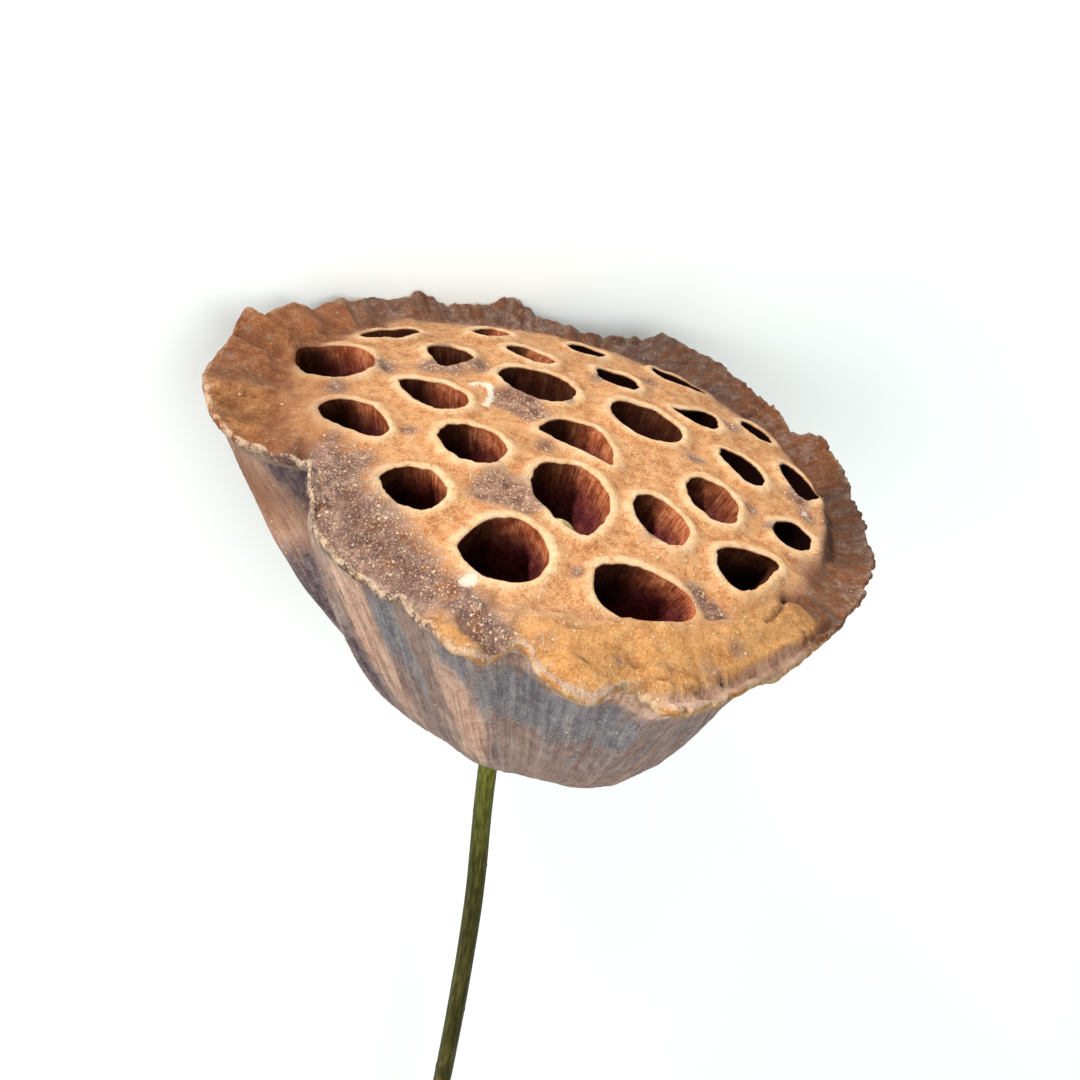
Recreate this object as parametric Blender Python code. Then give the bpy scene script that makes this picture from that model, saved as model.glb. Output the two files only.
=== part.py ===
"""A dried lotus seed head on its cut stem, lying on a flat surface.

The pod is worked out in its own frame, in millimetres: x and y lie in the plane of the rim, z comes
out of the face, and angles run anticlockwise from x as the face is looked at. The last step lays
the pod over on its far edge (near angle 118) with the stem's cut end on the surface, z = 0.
"""
import math

import bmesh
import bpy
import numpy as np
from mathutils import Matrix, Vector
from mathutils.geometry import delaunay_2d_cdt

MM = 0.001

# The rim, as (angle, radius, height): its torn tips, the curled-in stretch on the near left
# at 209 degrees, and the notches between the folded lobes of the near side
RIM = [
    (0, 51.5, -1.0), (10, 51.0, -1.0), (20, 51.3, -0.5), (29, 52.3, 0.0), (37, 53.2, 0.8),
    (41, 50.6, 0.0), (50, 52.0, 0.0), (60, 54.5, 0.3), (69, 56.0, 0.5), (76, 56.4, 0.8),
    (80, 52.0, 0.3), (89, 48.6, 0.0), (99, 49.8, 0.0), (105, 51.8, 0.8), (110, 50.0, 0.0),
    (120, 50.0, 0.0), (129, 50.6, 0.2), (133, 52.0, 0.6), (138, 50.8, 0.2), (146, 52.4, 0.0),
    (157, 53.4, 0.0), (164, 53.8, 0.5), (172, 52.0, 0.3), (180, 52.3, 0.0), (187, 51.5, -0.5),
    (193, 49.5, -2.0), (199, 46.5, -2.5), (204, 42.0, -2.0), (209, 37.5, -1.0), (216, 38.2, -1.0),
    (226, 41.0, -1.5), (236, 43.8, -2.2), (246, 43.8, -3.0), (255, 45.5, -3.0), (263, 48.8, -3.0),
    (269, 50.4, -3.2), (275, 46.8, -3.0), (280, 52.4, -3.2), (286, 54.4, -3.5), (292, 51.4, -3.5),
    (297, 56.0, -4.0), (303, 54.8, -4.2), (312, 52.6, -3.8), (322, 51.4, -3.2), (332, 50.6, -2.6),
    (345, 50.8, -1.8),
]
RIM_THICKNESS = 1.6

# The disc that holds the seeds: a low dome that falls more steeply towards its edge
DISC_MIDDLE = (1.5, 2.0)
DISC_RADIUS = 42.5
DISC_TOP = 4.2
DISC_DROP = 4.8
FLANGE_LEAST = 3.0

# The flange between disc and rim, as (angle, spread, groove depth): positive sinks, negative swells
FLANGE_GROOVES = [(15, 32, 1.9), (95, 45, 0.7), (228, 20, 0.9), (300, 38, -1.6), (165, 26, -0.4)]

# Seed chambers, as (x, y, length, width, turn, point, bend): point sharpens the end that the turn
# faces, and bend bows the outline into a half moon
INNER_CHAMBERS = [
    (5.0, -0.5, 13.5, 7.5, 325, 0.65, -0.5), (5.5, -16.5, 17.0, 11.5, 290, 0.2, 0.0),
    (-4.5, 14.5, 12.5, 10.0, 170, 0.15, 0.0),
]
MIDDLE_CHAMBERS = [
    (25.5, -4.5, 11.0, 8.0, 115, 0.0, 0.0), (29.5, 9.0, 10.0, 5.5, 130, 0.0, 0.2),
    (13.5, 12.5, 12.5, 10.0, 145, 0.0, 0.0), (21.0, 21.5, 8.0, 5.5, 190, 0.8, -0.4),
    (7.5, 25.5, 8.0, 5.5, 155, 0.0, -0.1), (-7.0, 25.5, 8.5, 4.5, 160, 0.0, 0.0),
    (-19.0, 16.5, 8.5, 6.5, 265, 0.5, 0.0), (-19.0, 2.5, 11.5, 7.5, 160, 0.35, -0.1),
    (-10.5, -10.0, 11.0, 9.5, 315, 0.0, -0.1), (18.5, -15.0, 11.5, 7.5, 125, 0.0, 0.0),
]
OUTER_CHAMBERS = [
    (38.5, -4.0, 7.5, 6.0, 65, 0.0, 0.0), (39.0, 14.0, 10.5, 5.5, 115, 0.1, 0.0),
    (31.5, 27.0, 6.5, 5.0, 125, 0.2, 0.0), (17.5, 37.0, 10.0, 6.0, 160, 0.0, -0.2),
    (1.5, 36.0, 6.5, 5.0, 0, 0.0, 0.0), (-14.5, 32.5, 6.5, 4.5, 30, 0.0, 0.0),
    (-29.5, 23.5, 10.0, 5.0, 35, 0.0, 0.0), (-35.5, 9.0, 13.5, 12.0, 120, 0.0, 0.1),
    (-28.0, -9.0, 12.5, 7.5, 325, 0.15, -0.15), (-16.0, -24.0, 10.0, 8.5, 315, 0.1, -0.1),
    (-1.5, -32.0, 12.5, 12.0, 225, 0.1, -0.15), (18.5, -32.0, 15.0, 10.0, 8, 0.15, 0.05),
    (32.5, -17.5, 11.5, 7.0, 50, 0.45, -0.3),
]
SEED_CHAMBER = INNER_CHAMBERS[1]
CHAMBER_DEPTH = 16.0
OUTER_CHAMBER_DEPTH = 13.0
SEED_CHAMBER_DEPTH = 17.0
CHAMBER_TAPER = [(0.12, 1.0), (0.45, 0.97), (0.8, 0.84), (1.0, 0.55)]

# Each opening has a soft raised lip
LIP_HEIGHT = 0.9
LIP_WIDTH = 1.9
LIP_INNER_DROP = 0.35
LIP_INNER_WIDTH = 0.45

# The wall under the rim, as (depth, share of the rim's radius), for its lean and its full sides
BODY_DEPTH = 44.5
LEAN_WALL = [(3.4, 0.94), (7, 0.88), (12, 0.80), (18, 0.72), (25, 0.625), (32, 0.49), (38, 0.35), (42.5, 0.20)]
FULL_WALL = [(3.4, 0.92), (7, 0.90), (12, 0.87), (18, 0.84), (25, 0.78), (32, 0.69), (38, 0.54), (42.5, 0.33)]
FULL_SIDE = 290
FULL_TURN = 14
FULL_SPREAD = 62
BODY_RADIUS = 50.0
BASE_MIDDLE = (3.2, 0.0)
SEAT_RADIUS = 4.2

# Folds that run down the wall, as (angle at the rim, angle at the base, depth, spread, reach to rim)
FOLDS = [
    (207, 238, 6.5, 10, 1.0), (222, 250, -1.6, 7, 0.5), (192, 218, -2.8, 10, 0.0),
    (249, 264, 1.7, 7, 0.3), (262, 276, -1.0, 6, 0.3), (277, 284, 1.5, 6, 0.6),
    (303, 300, -0.8, 9, 0.0), (338, 324, 1.2, 8, 0.2), (352, 338, -1.0, 8, 0.0),
    (18, 4, 2.0, 9, 0.3), (40, 28, -1.2, 8, 0.0), (60, 52, 2.2, 9, 0.3),
    (100, 96, 1.6, 8, 0.2), (119, 116, -1.2, 8, 0.0), (138, 138, 2.4, 9, 0.3), (165, 172, 1.4, 8, 0.3),
]

# The stem, as points of its middle line, and the small flare where it meets the pod
STEM_RADIUS = 1.6
STEM_LINE = [
    (3.2, 0.0, -44.8), (5.9, 0.6, -66), (9.6, 1.5, -92), (13.0, 3.0, -130), (15.5, 5.0, -176), (16.5, 8.0, -222),
]
STEM_FLARE = 1.5
FLARE_LENGTH = 3.0
STEM_SIDES = 14
STEM_RINGS = 34

# The one seed left in the pod, deep in its chamber
SEED_HALF_SIZE = (3.6, 3.7, 4.9)
SEED_PLACE = (5.0, -14.7, -6.0)

# How fine the mesh is
AROUND = 140
FLANGE_RINGS = (0.0, 0.28, 0.62)
OUTLINE_STEP = 1.9
FILL_STEP = 3.1

# How it lies: turned about its axis, tipped so that the cut end comes down, then moved so that the
# surface is at z = 0 and x and y are 0 in the middle of the whole
LIE_TURN = -28.9
LIE_TIP = 12.7
LIE_PLACE = (2.51, -102.69, 49.05)


def cyclic_curve(angles, points, column):
    """A smooth closed curve of one column of points against their angle in degrees."""
    known = np.array([p[0] for p in points], float)
    value = np.array([p[column] for p in points], float)
    known = np.concatenate([known - 360, known, known + 360])
    value = np.tile(value, 3)
    slope = np.zeros_like(value)
    slope[1:-1] = (value[2:] - value[:-2]) / (known[2:] - known[:-2])
    angles = np.mod(angles, 360)
    i = np.searchsorted(known, angles, side="right") - 1
    step = known[i + 1] - known[i]
    t = (angles - known[i]) / step
    return ((2 * t**3 - 3 * t**2 + 1) * value[i] + (t**3 - 2 * t**2 + t) * step * slope[i]
            + (3 * t**2 - 2 * t**3) * value[i + 1] + (t**3 - t**2) * step * slope[i + 1])


def swell(angles, middle, spread):
    """A smooth bump round one angle, 1 at its middle."""
    away = (angles - middle + 180) % 360 - 180
    return np.exp(-(away / spread)**2)


def disc_edge(angles):
    """Distance from the pod's axis to the edge of the disc."""
    a = np.radians(angles)
    along = DISC_MIDDLE[0] * np.cos(a) + DISC_MIDDLE[1] * np.sin(a)
    across = DISC_MIDDLE[0] * np.sin(a) - DISC_MIDDLE[1] * np.cos(a)
    edge = along + np.sqrt(DISC_RADIUS**2 - across**2)
    return np.minimum(edge, cyclic_curve(angles, RIM, 1) - FLANGE_LEAST)


def dome(x, y):
    r = np.hypot(x - DISC_MIDDLE[0], y - DISC_MIDDLE[1])
    return DISC_TOP - DISC_DROP * np.minimum(r / DISC_RADIUS, 1.0)**3


def face_height(x, y):
    """Height of the pod's top without its lips: the dome, then the flange out to the rim."""
    angles = np.degrees(np.arctan2(y, x))
    r = np.hypot(x, y)
    edge = disc_edge(angles)
    rim = cyclic_curve(angles, RIM, 1)
    t = np.clip((r - edge) / (rim - edge), 0, 1)
    shrink = np.minimum(r, edge) / np.maximum(r, 1e-9)
    ease = t * t * (3 - 2 * t)
    groove = sum(depth * swell(angles, middle, spread) for middle, spread, depth in FLANGE_GROOVES)
    height = dome(x * shrink, y * shrink)
    return height + (cyclic_curve(angles, RIM, 2) - height) * ease - groove * np.sin(math.pi * t**0.7)


def chamber_outline(chamber, grow=0.0, step=OUTLINE_STEP):
    """The outline of one opening, as points that run anticlockwise, moved outwards by grow."""
    x, y, length, width, turn, point, bend = chamber
    half_length = length / 2 + grow
    half_width = width / 2 + grow
    count = max(10, round(math.pi * (half_length + half_width) / step))
    t = np.linspace(0, 2 * math.pi, count, endpoint=False)
    u = half_length * np.cos(t)
    v = half_width * np.sin(t) * (1 - point * np.cos(t)) + width / 2 * bend * (np.cos(t)**2 - 0.5)
    c, s = math.cos(math.radians(turn)), math.sin(math.radians(turn))
    return np.stack([x + u * c - v * s, y + u * s + v * c], -1)


def outline_distance(points, outline):
    """Distance from each point to a closed outline."""
    a = outline[None, :, :]
    along = np.roll(outline, -1, axis=0)[None, :, :] - a
    t = np.clip(np.sum((points[:, None] - a) * along, -1) / np.sum(along**2, -1), 0, 1)
    return np.linalg.norm(points[:, None] - a - t[..., None] * along, axis=-1).min(axis=1)


def inside(points, outline):
    """Which points lie inside a closed outline."""
    x, y = points[:, :1], points[:, 1:]
    ax, ay = outline[:, 0], outline[:, 1]
    bx, by = np.roll(ax, -1), np.roll(ay, -1)
    crosses = (ay > y) != (by > y)
    at = ax + (y - ay) / np.where(by == ay, 1.0, by - ay) * (bx - ax)
    return (crosses & (x < at)).sum(axis=1) % 2 == 1


def lip_height(distance):
    crest = 1 - LIP_INNER_DROP * np.exp(-(distance / LIP_INNER_WIDTH)**2)
    return LIP_HEIGHT * crest * np.exp(-(distance / LIP_WIDTH)**2)


def chamber_list():
    """Every chamber with its depth."""
    inner = [(c, SEED_CHAMBER_DEPTH if c is SEED_CHAMBER else CHAMBER_DEPTH) for c in INNER_CHAMBERS]
    return inner + [(c, CHAMBER_DEPTH) for c in MIDDLE_CHAMBERS] + [(c, OUTER_CHAMBER_DEPTH) for c in OUTER_CHAMBERS]


def face_points(outlines):
    """Points that fill the face: rings on the flange, the lips' crests, and a grid in between."""
    angles = np.arange(AROUND) * 360 / AROUND
    a = np.radians(angles)
    edge, rim = disc_edge(angles), cyclic_curve(angles, RIM, 1)
    rings = []
    for share in FLANGE_RINGS:
        r = edge + (rim - edge) * share
        rings.append(np.stack([r * np.cos(a), r * np.sin(a)], -1))
    rings = np.concatenate(rings)
    rings = rings[clearance(rings, outlines) > 0.9]
    crests = np.concatenate([chamber_outline(c, 0.8) for c, _ in chamber_list()])
    crests = crests[clearance(crests, outlines) > 0.6]
    half = int(60 / FILL_STEP)
    grid = [((i + 0.5 * (j % 2)) * FILL_STEP, j * FILL_STEP * 0.866)
            for j in range(-half, half + 1) for i in range(-half, half + 1)]
    grid = np.array(grid)
    away = np.degrees(np.arctan2(grid[:, 1], grid[:, 0]))
    grid = grid[np.hypot(grid[:, 0], grid[:, 1]) < disc_edge(away) - 1.2]
    grid = grid[clearance(grid, outlines) > 1.7]
    return np.concatenate([rings, crests, grid])


def clearance(points, outlines):
    """Distance from each point to the nearest opening, negative inside one."""
    nearest = np.full(len(points), 1e9)
    for outline in outlines:
        distance = outline_distance(points, outline)
        nearest = np.minimum(nearest, np.where(inside(points, outline), -distance, distance))
    return nearest


def build_face(bm, outlines):
    """The pod's top, triangulated between the rim and the openings.

    Returns the rim's vertices and each opening's vertices, both in order round their loop.
    """
    angles = np.arange(AROUND) * 360 / AROUND
    rim = cyclic_curve(angles, RIM, 1)
    rim_loop = np.stack([rim * np.cos(np.radians(angles)), rim * np.sin(np.radians(angles))], -1)
    loops = [rim_loop] + outlines
    flat = np.concatenate(loops + [face_points(outlines)])
    edges = []
    start = 0
    for loop in loops:
        edges += [(start + i, start + (i + 1) % len(loop)) for i in range(len(loop))]
        start += len(loop)
    result = delaunay_2d_cdt([Vector(p) for p in flat], edges, [], 0, 1e-6)
    placed, triangles, sources = result[0], result[2], result[3]
    spot = np.array([tuple(p) for p in placed])
    middles = spot[np.array(triangles)].mean(axis=1)
    keep = inside(middles, rim_loop) & (clearance(middles, outlines) > 0)
    distance = np.maximum(clearance(spot, outlines), 0)
    height = face_height(spot[:, 0], spot[:, 1]) + lip_height(distance)
    verts = [bm.verts.new((x, y, z)) for (x, y), z in zip(spot, height)]
    for triangle, kept in zip(triangles, keep):
        if kept:
            bm.faces.new([verts[i] for i in triangle])
    of_input = {i: verts[k] for k, source in enumerate(sources) for i in source}
    rings = []
    start = 0
    for loop in loops:
        rings.append([of_input[start + i] for i in range(len(loop))])
        start += len(loop)
    return rings[0], rings[1:]


def bridge(bm, upper, lower):
    """Quads split into triangles between two loops of the same count."""
    count = len(upper)
    for i in range(count):
        j = (i + 1) % count
        bm.faces.new((upper[i], upper[j], lower[j]))
        bm.faces.new((upper[i], lower[j], lower[i]))


def cap(bm, loop, tip):
    """Closes a loop with a fan round one more vertex."""
    middle = bm.verts.new(tip)
    for i in range(len(loop)):
        bm.faces.new((loop[i], loop[(i + 1) % len(loop)], middle))


def build_chamber(bm, loop, chamber, depth):
    """A chamber's wall and rounded floor: it narrows as it goes down and leans towards the stem."""
    top = np.array([v.co for v in loop])
    focus = np.array([BASE_MIDDLE[0], BASE_MIDDLE[1], top[:, 2].mean() - 78])
    axis = np.array([chamber[0], chamber[1], top[:, 2].mean()])
    upper = loop
    for share, narrow in CHAMBER_TAPER:
        sink = share * depth / (axis[2] - focus[2])
        middle = axis + (focus - axis) * sink
        ring = middle + (top - axis) * (1 - sink) * narrow
        lower = [bm.verts.new(p) for p in ring]
        bridge(bm, upper, lower)
        upper = lower
    end = axis + (focus - axis) * (depth * 1.06 / (axis[2] - focus[2]))
    cap(bm, upper, end)


def wall_profile(angles, depth):
    lean = np.interp(depth, [p[0] for p in LEAN_WALL], [p[1] for p in LEAN_WALL])
    full = np.interp(depth, [p[0] for p in FULL_WALL], [p[1] for p in FULL_WALL])
    side = FULL_SIDE + FULL_TURN * (depth / BODY_DEPTH)**2
    return lean + (full - lean) * swell(angles, side, FULL_SPREAD)


def wall_ring(angles, depth):
    """One ring of the wall, with its folds, at a depth below the rim."""
    low = depth / BODY_DEPTH
    rim = cyclic_curve(angles, RIM, 1)
    around = rim + (BODY_RADIUS - rim) * low**0.5
    r = around * wall_profile(angles, depth)
    for top, base, fold, spread, reach in FOLDS:
        strength = math.sin(math.pi * min(low**0.8, 1.0)) * (1 - reach) + reach * (1 - low)**0.4
        r = r - fold * strength * swell(angles, top + (base - top) * low, spread)
    a = np.radians(angles)
    x = BASE_MIDDLE[0] * low + r * np.cos(a)
    y = BASE_MIDDLE[1] * low + r * np.sin(a)
    return np.stack([x, y, cyclic_curve(angles, RIM, 2) * (1 - low) - depth], -1)


def build_wall(bm, rim_loop):
    """The rim's thickness and the wall down to the stem's seat."""
    angles = np.arange(AROUND) * 360 / AROUND
    a = np.radians(angles)
    outward = np.stack([np.cos(a), np.sin(a), 0 * a], -1)
    rim = np.array([v.co for v in rim_loop])
    down = np.array([0, 0, -1.0])
    rings = [rim + outward * 0.3 + down * RIM_THICKNESS * 0.45, rim - outward * 0.3 + down * RIM_THICKNESS]
    rings += [wall_ring(angles, depth) for depth, _ in LEAN_WALL]
    seat = np.array([BASE_MIDDLE[0], BASE_MIDDLE[1], -BODY_DEPTH])
    rings.append(seat + outward * SEAT_RADIUS)
    upper = rim_loop
    for ring in rings:
        lower = [bm.verts.new(p) for p in ring]
        bridge(bm, lower[::-1], upper[::-1])
        upper = lower
    cap(bm, upper[::-1], seat)


def laid_down():
    """From the pod's own frame, in millimetres, to the surface that it lies on, in metres."""
    on_side = Matrix.Rotation(math.pi, 4, "Z") @ Matrix.Rotation(-math.pi / 2, 4, "X")
    turned = on_side @ Matrix.Rotation(math.radians(LIE_TURN), 4, "Z")
    tipped = Matrix.Rotation(math.radians(-LIE_TIP), 4, "X") @ turned
    return Matrix.Scale(MM, 4) @ Matrix.Translation(LIE_PLACE) @ tipped


def finish(bm, name, material):
    """Lays a shape down, worn flat where it meets the surface, and makes it an object."""
    bmesh.ops.transform(bm, matrix=laid_down(), verts=bm.verts)
    everything = bm.verts[:] + bm.edges[:] + bm.faces[:]
    bmesh.ops.bisect_plane(bm, geom=everything, plane_co=(0, 0, 0), plane_no=(0, 0, 1), clear_inner=True)
    bmesh.ops.holes_fill(bm, edges=[edge for edge in bm.edges if edge.is_boundary])
    bmesh.ops.recalc_face_normals(bm, faces=bm.faces)
    mesh = bpy.data.meshes.new(name)
    bm.to_mesh(mesh)
    bm.free()
    mesh.shade_smooth()
    mesh.set_sharp_from_angle(angle=math.radians(50))
    mesh.materials.append(material)
    thing = bpy.data.objects.new(name, mesh)
    bpy.context.scene.collection.objects.link(thing)
    return thing


def surface(name, colour, roughness):
    material = bpy.data.materials.new(name)
    material.use_nodes = True
    shader = material.node_tree.nodes["Principled BSDF"]
    shader.inputs["Base Color"].default_value = (*colour, 1.0)
    shader.inputs["Roughness"].default_value = roughness
    shader.inputs["Metallic"].default_value = 0.0
    return material


def make_pod():
    bm = bmesh.new()
    outlines = [chamber_outline(chamber) for chamber, _ in chamber_list()]
    rim_loop, openings = build_face(bm, outlines)
    for loop, (chamber, depth) in zip(openings, chamber_list()):
        build_chamber(bm, loop, chamber, depth)
    build_wall(bm, rim_loop)
    return finish(bm, "pod", surface("dried_pod", (0.52, 0.27, 0.10), 0.75))


def stem_point(share):
    """A point of the stem's middle line, on a smooth curve through its listed points."""
    points = [Vector(p) for p in STEM_LINE]
    points = [points[0] * 2 - points[1]] + points + [points[-1] * 2 - points[-2]]
    at = share * (len(STEM_LINE) - 1)
    i = min(int(at), len(STEM_LINE) - 2)
    t = at - i
    a, b, c, d = points[i:i + 4]
    return 0.5 * (2 * b + (c - a) * t + (2 * a - 5 * b + 4 * c - d) * t**2 + (3 * b - a - 3 * c + d) * t**3)


def make_stem():
    bm = bmesh.new()
    length = (Vector(STEM_LINE[-1]) - Vector(STEM_LINE[0])).length
    upper = None
    for k in range(STEM_RINGS + 1):
        share = (k / STEM_RINGS)**1.3
        middle = stem_point(share)
        along = (stem_point(min(share + 0.01, 1)) - stem_point(max(share - 0.01, 0))).normalized()
        if upper is None:
            along = Vector((0, 0, -1))
        side = along.cross(Vector((0, 1, 0))).normalized()
        other = along.cross(side)
        radius = STEM_RADIUS + STEM_FLARE * math.exp(-share * length / FLARE_LENGTH)
        ring = []
        for i in range(STEM_SIDES):
            t = 2 * math.pi * i / STEM_SIDES
            ring.append(bm.verts.new(middle + radius * (math.cos(t) * side + math.sin(t) * other)))
        if upper is None:
            cap(bm, ring, middle)
        else:
            bridge(bm, ring, upper)
        upper = ring
    cap(bm, upper[::-1], stem_point(1))
    return finish(bm, "stem", surface("stem", (0.16, 0.15, 0.05), 0.6))


def make_seed():
    bm = bmesh.new()
    bmesh.ops.create_uvsphere(bm, u_segments=16, v_segments=10, radius=1.0)
    place = Matrix.Translation(SEED_PLACE) @ Matrix.Diagonal((*SEED_HALF_SIZE, 1.0))
    bmesh.ops.transform(bm, matrix=place, verts=bm.verts)
    bmesh.ops.triangulate(bm, faces=bm.faces)
    return finish(bm, "seed", surface("seed_shell", (0.35, 0.33, 0.16), 0.5))


for thing in list(bpy.data.objects):
    bpy.data.objects.remove(thing, do_unlink=True)
make_pod()
make_stem()
make_seed()
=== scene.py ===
"""A dried lotus seed head on its cut stem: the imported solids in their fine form, with the relief,
fibres and colours of the dried tissue, on a plain pale floor.

The pod is worked out in its own frame, in millimetres, as its solids are: x and y lie in the plane
of the rim, z comes out of the face, and angles run anticlockwise from x as the face is looked at.
"""
import math

import bpy
import numpy as np
from mathutils import Matrix, Vector
from mathutils.geometry import delaunay_2d_cdt


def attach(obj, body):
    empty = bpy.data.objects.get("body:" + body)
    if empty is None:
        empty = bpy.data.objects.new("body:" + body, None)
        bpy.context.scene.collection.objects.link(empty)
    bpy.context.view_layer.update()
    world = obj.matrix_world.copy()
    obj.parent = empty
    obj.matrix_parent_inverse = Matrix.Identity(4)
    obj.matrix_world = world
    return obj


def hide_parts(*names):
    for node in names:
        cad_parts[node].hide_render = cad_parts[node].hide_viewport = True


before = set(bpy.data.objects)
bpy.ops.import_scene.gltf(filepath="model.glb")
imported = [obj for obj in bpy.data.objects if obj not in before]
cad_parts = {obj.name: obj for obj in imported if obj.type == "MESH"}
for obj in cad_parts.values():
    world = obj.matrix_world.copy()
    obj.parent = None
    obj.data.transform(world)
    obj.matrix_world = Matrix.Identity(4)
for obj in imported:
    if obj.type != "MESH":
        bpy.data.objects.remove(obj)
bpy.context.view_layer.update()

MM = 0.001

# The rim, as (angle, radius, height), and its rounded edge, as (how far out, how far down)
RIM = [
    (0, 51.5, -1), (10, 51, -1), (20, 51.3, -0.5), (29, 52.3, 0), (37, 53.2, 0.8), (41, 50.6, 0), (50, 52, 0),
    (60, 54.5, 0.3), (69, 56, 0.5), (76, 56.4, 0.8), (80, 52, 0.3), (89, 48.6, 0), (99, 49.8, 0),
    (105, 51.8, 0.8), (110, 50, 0), (120, 50, 0), (129, 50.6, 0.2), (133, 52, 0.6), (138, 50.8, 0.2),
    (146, 52.4, 0), (157, 53.4, 0), (164, 53.8, 0.5), (172, 52, 0.3), (180, 52.3, 0), (187, 51.5, -0.5),
    (193, 49.5, -2), (199, 46.5, -2.5), (204, 42, -2), (209, 37.5, -1), (216, 38.2, -1), (226, 41, -1.5),
    (236, 43.8, -2.2), (246, 43.8, -3), (255, 45.5, -3), (263, 48.8, -3), (269, 50.4, -3.2), (275, 46.8, -3),
    (280, 52.4, -3.2), (286, 54.4, -3.5), (292, 51.4, -3.5), (297, 56, -4), (303, 54.8, -4.2),
    (312, 52.6, -3.8), (322, 51.4, -3.2), (332, 50.6, -2.6), (345, 50.8, -1.8),
]
RIM_THICKNESS = 1.6
RIM_EDGE = ((0.2, 0.25), (0.3, 0.45 * RIM_THICKNESS), (0.1, 1.2))

# The disc that holds the seeds, and the flange round it as (angle, spread, groove depth)
DISC_MIDDLE = (1.5, 2.0)
DISC_RADIUS = 42.5
DISC_TOP = 4.2
DISC_DROP = 4.8
FLANGE_LEAST = 3.0
FLANGE_GROOVES = [(15, 32, 1.9), (95, 45, 0.7), (228, 20, 0.9), (300, 38, -1.6), (165, 26, -0.4)]

# Seed chambers, as (x, y, length, width, turn, point, bend), the second of the inner ones with its seed
INNER_CHAMBERS = [
    (5, -0.5, 13.5, 7.5, 325, 0.65, -0.5), (5.5, -16.5, 17, 11.5, 290, 0.2, 0),
    (-4.5, 14.5, 12.5, 10, 170, 0.15, 0),
]
MIDDLE_CHAMBERS = [
    (25.5, -4.5, 11, 8, 115, 0, 0), (29.5, 9, 10, 5.5, 130, 0, 0.2), (13.5, 12.5, 12.5, 10, 145, 0, 0),
    (21, 21.5, 8, 5.5, 190, 0.8, -0.4), (7.5, 25.5, 8, 5.5, 155, 0, -0.1), (-7, 25.5, 8.5, 4.5, 160, 0, 0),
    (-19, 16.5, 8.5, 6.5, 265, 0.5, 0), (-19, 2.5, 11.5, 7.5, 160, 0.35, -0.1),
    (-10.5, -10, 11, 9.5, 315, 0, -0.1), (18.5, -15, 11.5, 7.5, 125, 0, 0),
]
OUTER_CHAMBERS = [
    (38.5, -4, 7.5, 6, 65, 0, 0), (39, 14, 10.5, 5.5, 115, 0.1, 0), (31.5, 27, 6.5, 5, 125, 0.2, 0),
    (17.5, 37, 10, 6, 160, 0, -0.2), (1.5, 36, 6.5, 5, 0, 0, 0), (-14.5, 32.5, 6.5, 4.5, 30, 0, 0),
    (-29.5, 23.5, 10, 5, 35, 0, 0), (-35.5, 9, 13.5, 12, 120, 0, 0.1), (-28, -9, 12.5, 7.5, 325, 0.15, -0.15),
    (-16, -24, 10, 8.5, 315, 0.1, -0.1), (-1.5, -32, 12.5, 12, 225, 0.1, -0.15),
    (18.5, -32, 15, 10, 8, 0.15, 0.05), (32.5, -17.5, 11.5, 7, 50, 0.45, -0.3),
]
CHAMBER_DEPTH = 16.0
OUTER_CHAMBER_DEPTH = 13.0
SEED_CHAMBER_DEPTH = 17.0
CHAMBER_TAPER = [(0, 1), (0.12, 1), (0.45, 0.97), (0.8, 0.84), (1, 0.55)]
CHAMBERS = [(chamber, CHAMBER_DEPTH) for chamber in INNER_CHAMBERS + MIDDLE_CHAMBERS]
CHAMBERS += [(chamber, OUTER_CHAMBER_DEPTH) for chamber in OUTER_CHAMBERS]
CHAMBERS[1] = (INNER_CHAMBERS[1], SEED_CHAMBER_DEPTH)
LIP_HEIGHT = 0.9
LIP_WIDTH = 1.9
LIP_INNER_DROP = 0.35
LIP_INNER_WIDTH = 0.45

# The wall under the rim, as (depth, share of the rim's radius), for its lean and its full sides
BODY_DEPTH = 44.5
LEAN_WALL = [
    (3.4, 0.94), (7, 0.88), (12, 0.80), (18, 0.72), (25, 0.625), (32, 0.49), (38, 0.35), (42.5, 0.20),
]
FULL_WALL = [(3.4, 0.92), (7, 0.90), (12, 0.87), (18, 0.84), (25, 0.78), (32, 0.69), (38, 0.54), (42.5, 0.33)]
WALL_START, WALL_END = LEAN_WALL[0][0], LEAN_WALL[-1][0]
FULL_SIDE = 290
FULL_TURN = 14
FULL_SPREAD = 62
BODY_RADIUS = 50.0
BASE_MIDDLE = (3.2, 0.0)
SEAT_RADIUS = 4.2
# Folds of the wall, as (angle at the rim, angle at the base, depth, spread, share at the rim)
FOLDS = [
    (207, 238, 6.5, 10, 1), (222, 250, -1.6, 7, 0.5), (192, 218, -2.8, 10, 0), (249, 264, 1.7, 7, 0.3),
    (262, 276, -1, 6, 0.3), (277, 284, 1.5, 6, 0.6), (303, 300, -0.8, 9, 0), (338, 324, 1.2, 8, 0.2),
    (352, 338, -1, 8, 0), (18, 4, 2, 9, 0.3), (40, 28, -1.2, 8, 0), (60, 52, 2.2, 9, 0.3),
    (100, 96, 1.6, 8, 0.2), (119, 116, -1.2, 8, 0), (138, 138, 2.4, 9, 0.3), (165, 172, 1.4, 8, 0.3),
]

# The stem and the seed
STEM_RADIUS = 1.6
STEM_LINE = [
    (3.2, 0, -44.8), (5.9, 0.6, -66), (9.6, 1.5, -92), (13, 3, -130), (15.5, 5, -176), (16.5, 8, -222),
]
STEM_FLARE = 1.5
FLARE_LENGTH = 3.0
CUT_TONE = 0.4
CHANNEL_DEPTH = 1.6
SEED_HALF_SIZE = (3.6, 3.7, 4.9)
SEED_PLACE = (5.0, -14.7, -6.0)

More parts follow.
